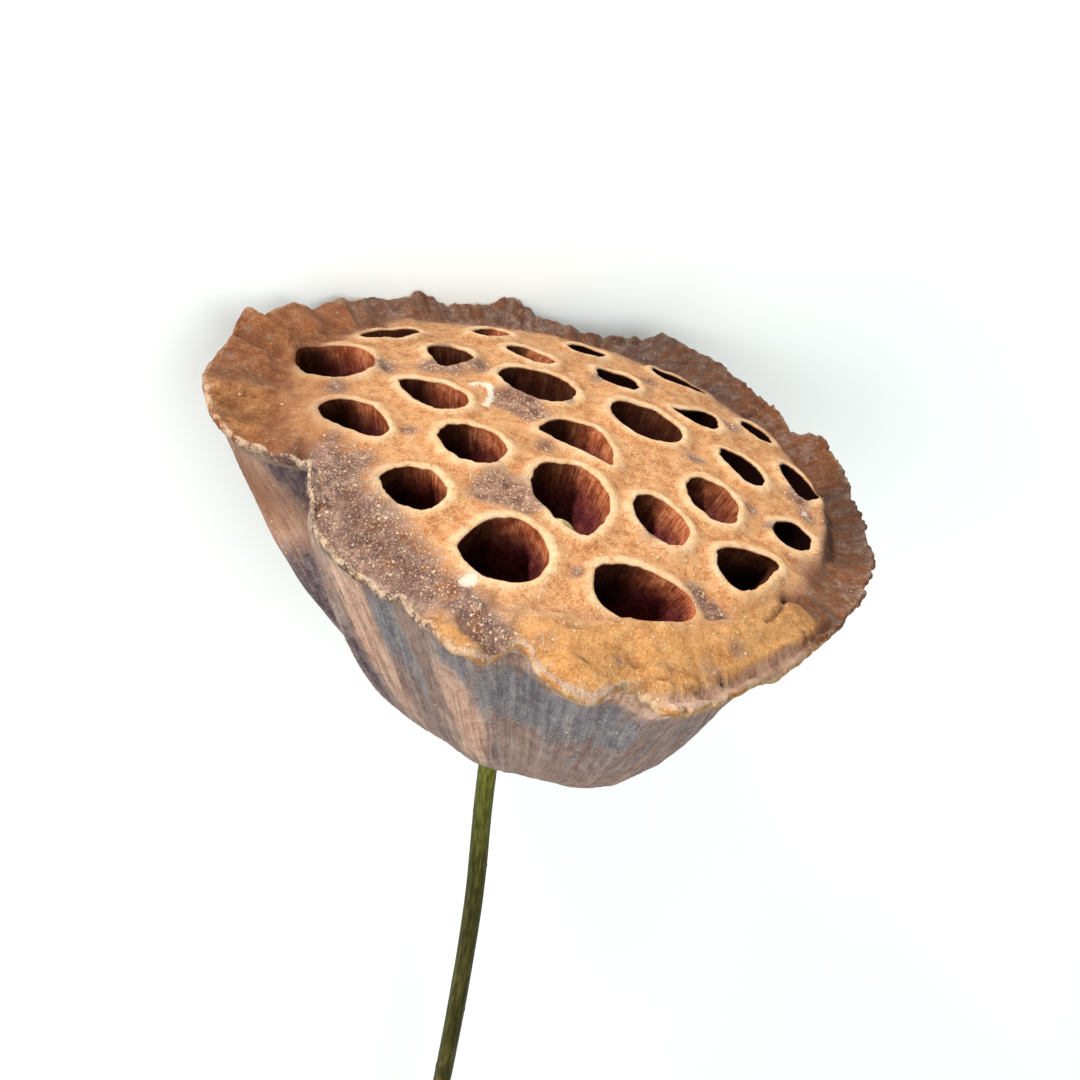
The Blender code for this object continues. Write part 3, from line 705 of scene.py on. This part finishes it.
def wall_ring(depth):
    """One ring of the wall, with its folds, at a depth below the rim."""
    low = depth / BODY_DEPTH
    radius = cyclic_curve(ROUND, RIM, 1)
    r = (radius + (BODY_RADIUS - radius) * low**0.5) * wall_profile(ROUND, depth)
    for top, base, fold, spread, reach in FOLDS:
        strength = math.sin(math.pi * min(low**0.8, 1.0)) * (1 - reach) + reach * (1 - low)**0.4
        r = r - fold * strength * swell(ROUND, top + (base - top) * low, spread)
    start = flow_angles(low)
    fade = math.sin(math.pi * min(1.0, 0.12 + low * 0.88))
    uneven = 0.4 + 0.6 * smooth(noise(round_places(start, 7.0, depth / 12), 56), -0.3, 0.4)
    rough = 0.55 * noise(round_places(start, 5.5, depth / 20), 51)
    rough += 0.35 * noise(round_places(start, 3.4, depth / 9), 55)
    rough += 0.22 * uneven * creased(round_places(start, 2.2, depth / 22), 3, 52)
    r = r + fade * rough
    r = r + 0.05 * noise(round_places(ROUND, 0.9, depth / 1.4, r.mean()), 53)
    curl = between(ROUND, 262, 336, 8) * bell(depth - 4.6, 1.9)
    r = r + curl * (1.1 + 0.5 * noise(round_places(ROUND, 5.0, depth / 1.1), 54))
    flat = np.array(BASE_MIDDLE) * low + circle(r, ROUND)
    return np.column_stack([flat, cyclic_curve(ROUND, RIM, 2) * (1 - low) - depth])


def patch(start, low, listed):
    """Soft patches on the wall, as (angle at the rim, spread, depth share, spread, strength)."""
    return np.clip(sum(strength * swell(start, middle, spread) * bell(low - deep, tall)
                       for middle, spread, deep, tall, strength in listed), 0, 1)


# The blue patches just under the rim's overhang, from 245 to 293 degrees, and the blue and plum patches in
# the fold under the notch near 205 degrees, are partly painted shade
BLUE_PATCHES = [
    (245, 4, 0.22, 0.2, 0.9), (251, 4, 0.4, 0.16, 0.5), (272, 7, 0.26, 0.12, 0.9), (281, 9, 0.26, 0.12, 1),
    (293, 10, 0.25, 0.12, 0.7), (291, 3, 0.34, 0.06, 0.6), (262, 6, 0.12, 0.1, 0.6), (315, 10, 0.3, 0.2, 0.4),
    (20, 14, 0.4, 0.3, 0.6), (95, 16, 0.3, 0.3, 0.6), (150, 12, 0.55, 0.3, 0.5), (340, 9, 0.5, 0.3, 0.5),
    (205, 3, 0.1, 0.07, 0.8), (222, 6, 0.3, 0.3, 0.4), (197, 5, 0.52, 0.14, 0.8), (230, 4, 0.52, 0.15, 0.7),
    (288, 9, 0.5, 0.1, 0.35), (268, 5, 0.56, 0.1, 0.4), (300, 8, 0.46, 0.12, 0.3),
]
PLUM_PATCHES = [
    (205, 6, 0.45, 0.3, 1), (196, 5, 0.5, 0.16, 0.9), (229, 4, 0.5, 0.16, 0.8), (60, 12, 0.5, 0.3, 0.7),
    (230, 6, 0.68, 0.2, 0.5), (138, 8, 0.4, 0.3, 0.8), (253, 2, 0.62, 0.06, 0.9), (330, 8, 0.2, 0.2, 0.5),
    (100, 8, 0.7, 0.3, 0.5), (211, 3, 0.16, 0.2, 0.8), (204, 6, 0.09, 0.12, 1),
]
TAN_PATCHES = [
    (194, 9, 0.2, 0.26, 1), (237, 5, 0.14, 0.2, 1), (234, 4, 0.4, 0.2, 0.6), (261, 4, 0.3, 0.25, 1),
    (264, 4, 0.5, 0.2, 0.8), (175, 12, 0.3, 0.4, 0.8), (120, 12, 0.4, 0.4, 0.6), (40, 12, 0.35, 0.4, 0.7),
    (0, 10, 0.4, 0.4, 0.5), (78, 9, 0.4, 0.4, 0.5), (313, 24, 0.07, 0.12, 1), (284, 10, 0.07, 0.07, 0.7),
    (240, 4, 0.5, 0.3, 0.6),
]
WALL_PATCHES = {
    "blue": BLUE_PATCHES, "plum": PLUM_PATCHES, "tan": TAN_PATCHES, "rust": [(193, 8, 0.2, 0.22, 0.7)],
}


def build_wall(shape, points, upper):
    """The rim's rounded edge, its underside, and the wall down to the stem's seat."""
    outward = np.column_stack([circle(1.0, ROUND), np.zeros(AROUND)])
    down = np.array([0, 0, -1.0])
    rim = points[upper]
    first = wall_ring(WALL_START)
    ragged = noise(round_places(ROUND, 1.6), 61)[:, None]
    under = rim - outward * (0.3 + 0.25 * ragged) + down * RIM_THICKNESS * (1 + 0.25 * ragged)
    rings = [(rim + outward * out + down * fall, 0.0) for out, fall in RIM_EDGE]
    rings += [(under + (first - under) * share, share) for share in (0.0, 0.35, 0.7)]
    near, grey = between(ROUND, 262, 334, 6), between(ROUND, 204, 262, 5)
    rust = between(ROUND, 330, 204, 8)
    for ring, inner in rings:
        left = 1 - inner
        lower = shape.add(ring, round_places(ROUND, along=WALL_START * inner / FIBRE_FALL), tan=near,
                          gold=near * (1 - 2.5 * inner), grey=grey * left, rust=rust * left,
                          edge=left * edge_strength(ROUND))
        shape.bridge(lower, upper, TOP)
        upper = lower
    for depth in WALL_START + (WALL_END - WALL_START) * np.linspace(0, 1, WALL_RINGS)**0.97:
        low = depth / BODY_DEPTH
        start = flow_angles(low)
        masks = {name: patch(start, low, listed) for name, listed in WALL_PATCHES.items()}
        lower = shape.add(wall_ring(depth), round_places(start, along=depth / FIBRE_FALL), **masks)
        shape.bridge(lower, upper, TOP if depth == WALL_START else WALL)
        upper = lower
    seat = np.array([*BASE_MIDDLE, -BODY_DEPTH])
    last = wall_ring(WALL_END)
    for share in (0.25, 0.5, 0.75, 1.0):
        ring = last + (seat + outward * SEAT_RADIUS - last) * share
        ring[:, 2] = last[:, 2] + (seat[2] - last[:, 2]) * math.sin(share * math.pi / 2)
        lower = shape.add(ring, round_places(ROUND, along=5.5), plum=0.3 * share)
        shape.bridge(lower, upper, WALL)
        upper = lower
    shape.close(upper, shape.add([seat], [0, 0, 5.5], plum=0.3), WALL, flip=True)


def make_pod(material):
    """The pod in two pieces, its top and its wall, that meet under the rim."""
    shape = Shape(MASKS)
    points, (rim, *openings) = build_face(shape, [chamber_outline(chamber) for chamber, _ in CHAMBERS])
    for loop, (chamber, depth) in zip(openings, CHAMBERS):
        build_chamber(shape, points, loop, chamber, depth)
    build_wall(shape, points, rim)
    return shape.pieces(["pod_top", "pod_wall"], material)


def stem_point(share):
    """A point of the stem's middle line, on a smooth curve through its listed points."""
    points = [Vector(p) for p in STEM_LINE]
    points = [points[0] * 2 - points[1]] + points + [points[-1] * 2 - points[-2]]
    at = share * (len(STEM_LINE) - 1)
    i = min(int(at), len(STEM_LINE) - 2)
    t = at - i
    a, b, c, d = points[i:i + 4]
    return 0.5 * (2 * b + (c - a) * t + (2 * a - 5 * b + 4 * c - d) * t**2 + (3 * b - a - 3 * c + d) * t**3)


def across(along):
    """Two directions at right angles to one and to each other."""
    side = along.cross(Vector((0, 1, 0))).normalized()
    return np.array([side, along.cross(side)])


def make_stem(material):
    """The stem, with faint ribs and warts, and its cut end with the air channels of the plant."""
    shape = Shape(("wart", "share", "cut"))
    length = (Vector(STEM_LINE[-1]) - Vector(STEM_LINE[0])).length
    turn = turns(STEM_SIDES)
    rings = []
    for share in np.linspace(0, 1, STEM_RINGS + 1)**1.15:
        along = (stem_point(min(share + 0.01, 1)) - stem_point(max(share - 0.01, 0))).normalized()
        run = share * length
        ribs = 0.035 * np.cos(np.radians(turn) * 9 + 0.3 * math.sin(share * 9))
        ribs += 0.03 * noise(round_places(turn, 1.0, run / 9, 2.4), 71)
        wart = smooth(noise(round_places(turn, 1.0, run / 1.7, 2.2), 72), 0.62, 0.9)
        radius = STEM_RADIUS + STEM_FLARE * math.exp(-run / FLARE_LENGTH) + ribs + 0.1 * wart
        axes = across(along if rings else Vector((0, 0, -1)))
        ring = np.array(stem_point(share)) + circle(radius, turn) @ axes
        cut = CUT_TONE if share == 1 else 0.0
        rings.append(shape.add(ring, round_places(turn, 1.0, run / 10, 1.6), wart=wart, share=share, cut=cut))
    for upper, lower in zip(rings, rings[1:]):
        shape.bridge(upper, lower)
    cut_end(shape, rings[-1], ring, along)
    shape.close(rings[0], shape.add([stem_point(0)]), flip=True)
    return shape.pieces(["stem_fine"], material)[0]


def cut_end(shape, rim, ring, along):
    """The stem's cut end: a flat cut with air channels that run up into it."""
    axes = across(along)
    middle = np.array(stem_point(1))
    channels = [(*circle(0.62, 60 * k + math.degrees(0.4)), 0.26) for k in range(6)] + [(0.0, 0.0, 0.2)]
    outlines = [np.array([x, y]) + circle(size, turns(CHANNEL_SIDES)) for x, y, size in channels]
    flat, triangles, loops = fill([(ring - middle) @ axes.T] + outlines)
    middles = flat[triangles].mean(axis=1)
    keep = np.ones(len(triangles), bool)
    for x, y, size in channels:
        keep &= np.hypot(middles[:, 0] - x, middles[:, 1] - y) > size * 0.97
    placed = middle + flat @ axes
    index = np.concatenate([rim, shape.add(placed[len(rim):], share=1.0, cut=CUT_TONE)])
    shape.join(index[triangles[keep]])
    for loop in loops[1:]:
        deep = placed[loop] - np.array(along) * CHANNEL_DEPTH
        lower = shape.add(deep, share=1.0, cut=1.0)
        shape.bridge(index[loop], lower, flip=True)
        shape.close(lower, shape.add([deep.mean(axis=0)], share=1.0, cut=1.0), flip=True)


def make_seed(material):
    """The seed: an egg shape with a small tip and faint dents."""
    shape = Shape()
    size, place = 0.97 * np.array(SEED_HALF_SIZE), np.array(SEED_PLACE)
    turn = turns(SEED_SIDES)
    rings = []
    for fall in math.pi * np.arange(1, SEED_ROWS) / SEED_ROWS:
        z = math.cos(fall) + 0.05 * bell(fall, 0.16)
        r = math.sin(fall) * (1 + 0.012 * noise(round_places(turn, 1.0, z * 2, 2.0), 81))
        rings.append(shape.add(np.column_stack([circle(r, turn), np.full(SEED_SIDES, z)]) * size + place))
    for upper, lower in zip(rings, rings[1:]):
        shape.bridge(upper, lower, flip=True)
    shape.close(rings[0], shape.add([place + size * [0, 0, 1.06]]))
    shape.close(rings[-1], shape.add([place - size * [0, 0, 1]]), flip=True)
    return shape.pieces(["seed_fine"], material)[0]


class Nodes:
    """Shorthand for building a material out of nodes."""

    def __init__(self, name):
        self.material = bpy.data.materials.new(name)
        self.material.use_nodes = True
        self.tree = self.material.node_tree
        self.shader = self.tree.nodes["Principled BSDF"]

    def plug(self, socket, value):
        if isinstance(value, bpy.types.NodeSocket):
            self.tree.links.new(value, socket)
        elif socket.type == "RGBA":
            socket.default_value = (*value, 1.0)
        else:
            socket.default_value = value

    def set(self, name, value):
        """Sets one input of the shader."""
        self.plug(self.shader.inputs[name], value)

    def node(self, kind, inputs, **settings):
        """Adds a node with its settings and inputs, and returns its outputs."""
        node = self.tree.nodes.new(kind)
        for key, value in settings.items():
            setattr(node, key, value)
        for key, value in inputs.items():
            self.plug(node.inputs[key], value)
        return node.outputs

    def mask(self, name):
        return self.node("ShaderNodeAttribute", {}, attribute_name=name)["Fac"]

    def vector(self, name, scale=(1, 1, 1)):
        place = self.node("ShaderNodeAttribute", {}, attribute_name=name)["Vector"]
        return self.node("ShaderNodeMapping", {"Vector": place, "Scale": scale})["Vector"]

    def noise(self, vector, scale, detail=3.0, rough=0.55, distortion=0.0):
        inputs = {"Vector": vector, "Scale": scale, "Detail": detail, "Roughness": rough}
        return self.node("ShaderNodeTexNoise", {**inputs, "Distortion": distortion})["Fac"]

    def math(self, operation, a, b=0.0):
        return self.node("ShaderNodeMath", {0: a, 1: b}, operation=operation)[0]

    def times(self, a, b):
        return self.math("MULTIPLY", a, b)

    def step(self, value, low, high):
        """0 below low, 1 above high, smooth in between."""
        inputs = {"Value": value, "From Min": low, "From Max": high}
        return self.node("ShaderNodeMapRange", inputs, interpolation_type="SMOOTHSTEP")["Result"]

    def ramp(self, value, places, colours, share=1.0):
        """A ramp through colours as a screen shows them, each times its share."""
        node = self.tree.nodes.new("ShaderNodeValToRGB")
        elements = node.color_ramp.elements
        while len(elements) < len(places):
            elements.new(0.5)
        for element, at, colour in zip(elements, places, colours):
            element.position = at
            element.color = (*(c * share for c in linear(*colour)), 1.0)
        self.plug(node.inputs["Fac"], value)
        return node.outputs["Color"]

    def tones(self, value, colours, share=1.0):
        """A ramp through five colours, spread as noise is."""
        return self.ramp(value, (0.36, 0.455, 0.5, 0.545, 0.65), colours, share)

    def add(self, *parts):
        """The sum of values, each times its share."""
        total = None
        for value, share in parts:
            part = self.times(value, share)
            total = part if total is None else self.math("ADD", total, part)
        return total

    def dots(self, vector, scale, crowd, size):
        """Small round granules, in that share of the cells."""
        cells = self.node("ShaderNodeTexVoronoi", {"Vector": vector, "Scale": scale})
        pick = self.node("ShaderNodeSeparateColor", {0: cells["Color"]})[0]
        kept = self.math("LESS_THAN", pick, crowd)
        return self.times(kept, self.step(cells["Distance"], size, size * 0.55))

    def mix(self, share, a, b):
        return self.node("ShaderNodeMix", {0: share, 6: a, 7: b}, data_type="RGBA", clamp_factor=True)[2]

    def over(self, under, top, mask, share):
        """One colour over another where a mask is, with a share of its strength."""
        return self.mix(self.times(mask, share), under, top)

    def broken(self, mask, texture, hard=0.18, reach=1.0):
        """A mask whose border is broken up by a texture."""
        push = self.times(self.math("SUBTRACT", texture, 0.5), reach)
        return self.step(self.math("ADD", mask, push), 0.5 - hard, 0.5 + hard)

    def finish(self, colour, height, strength, distance):
        """Sets the colour and the bump, and returns the material."""
        self.set("Base Color", colour)
        bump = self.node("ShaderNodeBump", {"Strength": strength, "Distance": distance, "Height": height})
        self.set("Normal", bump["Normal"])
        return self.material


def linear(red, green, blue):
    """A colour as a screen shows it, from 0 to 255, in linear light."""
    values = (value / 255 for value in (red, green, blue))
    return tuple(v / 12.92 if v <= 0.04045 else ((v + 0.055) / 1.055)**2.4 for v in values)


# Colours as the lit tissue shows them, from its darkest grains to its palest
TONES = {
    "disc": ((150, 84, 44), (208, 138, 82), (234, 168, 110), (246, 186, 128), (255, 220, 172)),
    "cream": ((226, 160, 106), (248, 192, 138), (255, 208, 158), (255, 220, 176), (255, 238, 208)),
    "mauve": ((82, 52, 50), (124, 86, 76), (154, 114, 98), (184, 144, 122), (232, 196, 168)),
    "band": ((62, 40, 42), (104, 76, 70), (140, 106, 94), (174, 138, 120), (232, 202, 176)),
    "gold": ((168, 104, 48), (212, 148, 82), (228, 165, 98), (238, 178, 112), (254, 208, 152)),
    "rust": ((92, 44, 22), (138, 78, 42), (162, 97, 54), (182, 118, 72), (208, 158, 114)),
    "wall": ((88, 66, 62), (124, 98, 90), (146, 120, 108), (164, 138, 124), (200, 172, 152)),
    "tan": ((126, 88, 74), (176, 135, 113), (201, 162, 139), (218, 183, 160), (240, 214, 194)),
    "blue": ((74, 68, 74), (104, 99, 104), (128, 124, 126), (150, 144, 142), (190, 178, 168)),
    "plum": ((48, 36, 42), (74, 58, 64), (100, 84, 88), (128, 110, 110), (172, 152, 146)),
    "pale": ((206, 160, 120), (230, 190, 148), (240, 206, 168), (246, 218, 186), (252, 234, 212)),
    "well": ((116, 54, 34), (150, 78, 50), (180, 100, 64), (206, 126, 86), (236, 172, 126)),
    "bark": ((70, 46, 40), (108, 76, 62), (132, 98, 80), (152, 120, 100), (196, 166, 142)),
    "depth": ((66, 28, 32), (90, 38, 42), (112, 50, 52), (134, 66, 62), (166, 92, 80)),
}

# How much of those colours the lit face, its pale lips and the shaded wall have of their own
LIT = 0.685
CREAM_LIT = LIT + 0.06
SHADED = 1.2

# Where the three colours of a short ramp stand, and half the floor's side in metres
THREE_TONES = (0.35, 0.5, 0.65)
FLOOR_HALF = 4.0


def pod_material():
    n = Nodes("dried_pod_fine")
    place = n.vector("place")
    middle = n.noise(place, 0.55, 4, 0.6)
    grain = n.noise(place, 2.6, 5, 0.7)
    fine = n.noise(place, 7.0, 3, 0.65)
    streak = n.noise(n.vector("fibre"), 0.8, 5, 0.6)
    cloud = n.add((n.noise(n.vector("fibre", (1, 1, 1.8)), 0.42, 6, 0.68), 0.6), (streak, 0.4))
    thin_streak = n.noise(n.vector("fibre", (1, 1, 0.6)), 2.6, 4, 0.6)
    mottle = n.add((middle, 0.35), (grain, 0.35), (fine, 0.3))
    fibrous = n.add((streak, 0.25), (thin_streak, 0.14), (middle, 0.2), (grain, 0.25), (fine, 0.16))
    woody = n.add((mottle, 0.45), (fibrous, 0.55))
    tone = {"cream": n.tones(mottle, TONES["cream"], CREAM_LIT)}
    for names, texture, share in (("disc mauve band gold pale", mottle, LIT), ("rust bark", woody, LIT),
                                  ("wall tan blue plum", fibrous, SHADED)):
        tone.update({name: n.tones(texture, TONES[name], share) for name in names.split()})

    # The wall with its patches, and the disc with its lips
    colour = tone["wall"]
    for name, reach in (("tan", 3.2), ("blue", 3.2), ("plum", 2.4)):
        colour = n.mix(n.broken(n.mask(name), cloud, 0.3, reach), colour, tone[name])
    colour = n.mix(n.mask("disc"), colour, tone["disc"])
    lip = n.times(n.mask("lip"), n.step(mottle, 0.2, 0.5))
    colour = n.over(colour, tone["cream"], n.step(lip, 0.3, 0.95), n.mask("disc"))

    # The flange, the golden edge, the mauve blotches and the speckled band
    bark = n.broken(n.mask("plum"), n.add((cloud, 0.7), (middle, 0.3)), 0.25, 4.0)
    rusted = n.mix(bark, tone["rust"], tone["bark"])
    colour = n.mix(n.broken(n.mask("rust"), mottle, 0.4, 1.0), colour, rusted)
    colour = n.mix(n.broken(n.mask("gold"), mottle, 0.45, 1.2), colour, tone["gold"])
    blotch = n.broken(n.mask("purple"), n.add((middle, 0.6), (grain, 0.4)), 0.4, 2.4)
    colour = n.over(colour, tone["mauve"], blotch, 0.92)
    speckled = n.broken(n.mask("grey"), n.add((middle, 0.7), (grain, 0.3)), 0.38, 1.8)
    colour = n.mix(speckled, colour, tone["band"])
    on_face = n.times(n.mask("disc"), n.broken(n.mask("plum"), grain, 0.3, 1.6))
    colour = n.over(colour, linear(84, 50, 44), on_face, 0.7)
    dusky = n.times(n.mask("grey"), n.step(n.noise(place, 0.44, 4, 0.65), 0.5, 0.38))
    colour = n.over(colour, tone["mauve"], dusky, 0.75)
    colour = n.over(colour, linear(62, 42, 50), dusky, 0.22)
    rusty = n.times(n.mask("grey"), n.step(n.noise(place, 0.36, 3, 0.6), 0.54, 0.66))
    colour = n.over(colour, tone["rust"], rusty, 0.8)

    # Pits, threads, granules and the crumbly edge
    pits = n.times(n.step(fine, 0.38, 0.3), n.step(middle, 0.4, 0.6))
    colour = n.over(colour, linear(120, 74, 46), pits, 0.5)
    lines = n.math("ABSOLUTE", n.math("SUBTRACT", n.noise(place, 0.42, 5, 0.62, 0.4), 0.5))
    threaded = n.add((n.mask("gold"), 1.0), (n.mask("grey"), 1.0), (n.mask("disc"), 0.4))
    thread = n.mix(n.mask("grey"), linear(110, 66, 36), linear(190, 150, 130))
    colour = n.over(colour, thread, n.times(n.step(lines, 0.012, 0.004), threaded), 0.55)
    wide = n.step(n.noise(place, 0.16, 3), 0.5, 0.64)
    crowd = n.add((n.mask("grey"), 0.75), (n.mask("purple"), 0.6), (n.mask("edge"), 0.2), (wide, 0.22))
    crowd = n.times(n.math("ADD", crowd, 0.04), n.step(grain, 0.4, 0.56))
    crowd = n.times(crowd, n.step(n.mask("rust"), 1.15, 0.3))
    dots = n.dots(place, 1.25, n.times(crowd, 0.7), 0.38)
    small = n.dots(place, 2.3, n.times(crowd, 1.3), 0.4)
    crumbs = n.math("MAXIMUM", dots, n.times(small, 0.85))
    colour = n.over(colour, linear(224, 198, 166), crumbs, 0.9)
    edge = n.times(n.mask("edge"), n.step(n.add((middle, 1.0), (grain, 0.5)), 0.66, 0.86))
    colour = n.over(colour, tone["pale"], edge, 0.75)

    # The chambers, then painted shade, the dark lines and wax over it all
    well = n.mask("well")
    lengthwise = n.noise(n.vector("fibre", (1, 1, 0.3)), 4.6, 4, 0.6)
    inner = n.tones(n.add((lengthwise, 0.45), (middle, 0.4), (grain, 0.15)), TONES["well"])
    inner = n.mix(n.step(well, 0.14, 0.44), inner, n.tones(mottle, TONES["depth"]))
    colour = n.mix(n.step(well, 0.015, 0.075), colour, inner)
    # Painted shade over the darkened parts of the flange, the disc and the chambers
    colour = n.over(colour, linear(20, 8, 7), n.mask("dim"), 0.42)
    # The dark lines: painted shade in the groove and the hollows, and dark cracks, partly painted shade
    colour = n.over(colour, linear(84, 44, 22), n.mask("dark"), 0.9)
    wax = n.times(n.broken(n.mask("wax"), mottle, 0.25, 3.6), n.step(n.mask("wax"), 0.03, 0.25))
    colour = n.over(colour, linear(220, 208, 190), wax, 0.9)
    roughness = {"Value": grain, "From Min": 0.3, "From Max": 0.7, "To Min": 0.6, "To Max": 0.85}
    n.set("Roughness", n.node("ShaderNodeMapRange", roughness)["Result"])
    n.set("Specular IOR Level", n.times(n.step(well, 0.14, 0.02), 0.25))
    relief = n.add((grain, 0.7), (thin_streak, 0.25), (fine, 0.45), (crumbs, 0.35))
    return n.finish(colour, relief, 1.0, 0.0006)


def stem_material():
    n = Nodes("stem_fine")
    streak = n.noise(n.vector("fibre"), 2.2, 5, 0.65)
    grain = n.noise(n.vector("place"), 3.0, 3, 0.6)
    upper = n.ramp(streak, THREE_TONES, ((66, 70, 20), (90, 94, 30), (118, 122, 52)))
    lower = n.ramp(streak, THREE_TONES, ((34, 30, 8), (54, 52, 14), (80, 76, 30)))
    colour = n.mix(n.step(n.mask("share"), 0.05, 0.4), upper, lower)
    colour = n.over(colour, linear(62, 52, 26), n.step(grain, 0.6, 0.72), 0.5)
    colour = n.over(colour, linear(96, 78, 40), n.mask("wart"), 0.7)
    # The cut face is pale, and the air channels in it are painted dark as shade
    cut = n.ramp(n.mask("cut"), (0.0, 0.45, 1.0), ((190, 170, 120), (186, 164, 116), (60, 44, 26)))
    colour = n.mix(n.step(n.mask("cut"), 0.2, 0.35), colour, cut)
    n.set("Roughness", 0.6)
    n.set("Specular IOR Level", 0.14)
    return n.finish(colour, streak, 0.6, 0.00015)


def seed_material():
    n = Nodes("seed_fine")
    middle = n.noise(n.vector("place"), 0.6, 4, 0.6)
    grain = n.noise(n.vector("place"), 4.0, 3, 0.6)
    colour = n.ramp(middle, (0.35, 0.5, 0.68), ((120, 112, 72), (160, 152, 106), (190, 182, 138)))
    colour = n.over(colour, linear(92, 78, 48), n.step(grain, 0.58, 0.72), 0.4)
    n.set("Roughness", 0.45)
    return n.finish(colour, grain, 0.4, 0.0001)


def make_floor():
    n = Nodes("floor")
    n.set("Base Color", (0.9, 0.94, 0.93))
    n.set("Roughness", 0.9)
    n.set("Specular IOR Level", 0.1)
    corners = FLOOR_HALF * np.array([(-1, -1, 0), (1, -1, 0), (1, 1, 0), (-1, 1, 0)], float)
    floor = mesh_object("floor", corners, np.array([(0, 1, 2), (0, 2, 3)]), n.material, {})


# The camera, in the pod's own frame: how far above the face's plane it looks from, its roll, its
# distance, its reach in pixels of a 1080 pixel frame, and where in that frame the pod's middle falls
VIEW_RISE = math.radians(30.6)
VIEW_ROLL = math.radians(16.2)
VIEW_DISTANCE = 290.0
VIEW_REACH = 1933.7
VIEW_MIDDLE = (544.3, 458.2)
FRAME_SIZE = 1080
SENSOR_WIDTH = 36


def make_camera():
    level = Vector((1, 0, 0))
    back = Vector((0, -math.cos(VIEW_RISE), math.sin(VIEW_RISE)))
    steep = back.cross(level)
    c, s = math.cos(VIEW_ROLL), math.sin(VIEW_ROLL)
    right, up = level * c + steep * s, steep * c - level * s
    per_pixel = VIEW_DISTANCE / VIEW_REACH
    place = back * VIEW_DISTANCE
    place -= right * (VIEW_MIDDLE[0] - FRAME_SIZE / 2) * per_pixel
    place += up * (VIEW_MIDDLE[1] - FRAME_SIZE / 2) * per_pixel
    local = Matrix.Translation(place) @ Matrix((right, up, back)).transposed().to_4x4()
    location, rotation, _ = (laid_down() @ local).decompose()
    data = bpy.data.cameras.new("camera")
    data.sensor_width = SENSOR_WIDTH
    data.lens = VIEW_REACH / FRAME_SIZE * SENSOR_WIDTH
    data.clip_start = 0.01
    camera = bpy.data.objects.new("camera", data)
    camera.matrix_world = Matrix.LocRotScale(location, rotation, None)
    bpy.context.scene.collection.objects.link(camera)
    bpy.context.scene.camera = camera
    return camera


def make_light(name, camera, direction, distance, size, power, colour):
    """A square soft light, placed by its direction from the pod in the camera's axes."""
    target = laid_down() @ Vector((0, -5, -10))
    away = (camera.matrix_world.to_3x3() @ Vector(direction)).normalized()
    data = bpy.data.lights.new(name, "AREA")
    data.shape = "SQUARE"
    data.size = size
    data.energy = power
    data.color = colour
    light = bpy.data.objects.new(name, data)
    light.location = target + away * distance
    light.rotation_euler = away.to_track_quat("Z", "Y").to_euler()
    bpy.context.scene.collection.objects.link(light)


def make_world():
    world = bpy.data.worlds.new("world")
    bpy.context.scene.world = world
    world.use_nodes = True
    background = world.node_tree.nodes["Background"]
    background.inputs["Color"].default_value = (0.97, 1.0, 0.99, 1)
    background.inputs["Strength"].default_value = 0.3


camera = make_camera()
make_world()
make_light("key", camera, (-0.36, 0.775, 0.52), 1.2, 0.12, 26.0, (1.0, 0.96, 0.9))
make_light("overhead", camera, (0.384, -0.367, 0.847), 1.1, 0.9, 8.5, (0.98, 1.0, 0.99))
make_light("fill", camera, (-0.45, -0.35, 0.82), 1.2, 0.8, 8.5, (1.0, 0.99, 0.98))
make_floor()

pod_pieces = make_pod(pod_material())
for piece in pod_pieces:
    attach(piece, "root")
    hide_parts("pod")
stem = make_stem(stem_material())
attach(stem, "root")
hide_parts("stem")
seed = make_seed(seed_material())
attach(seed, "root")
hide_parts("seed")

view = bpy.context.scene.view_settings
view.view_transform = "Standard"
view.look = "None"
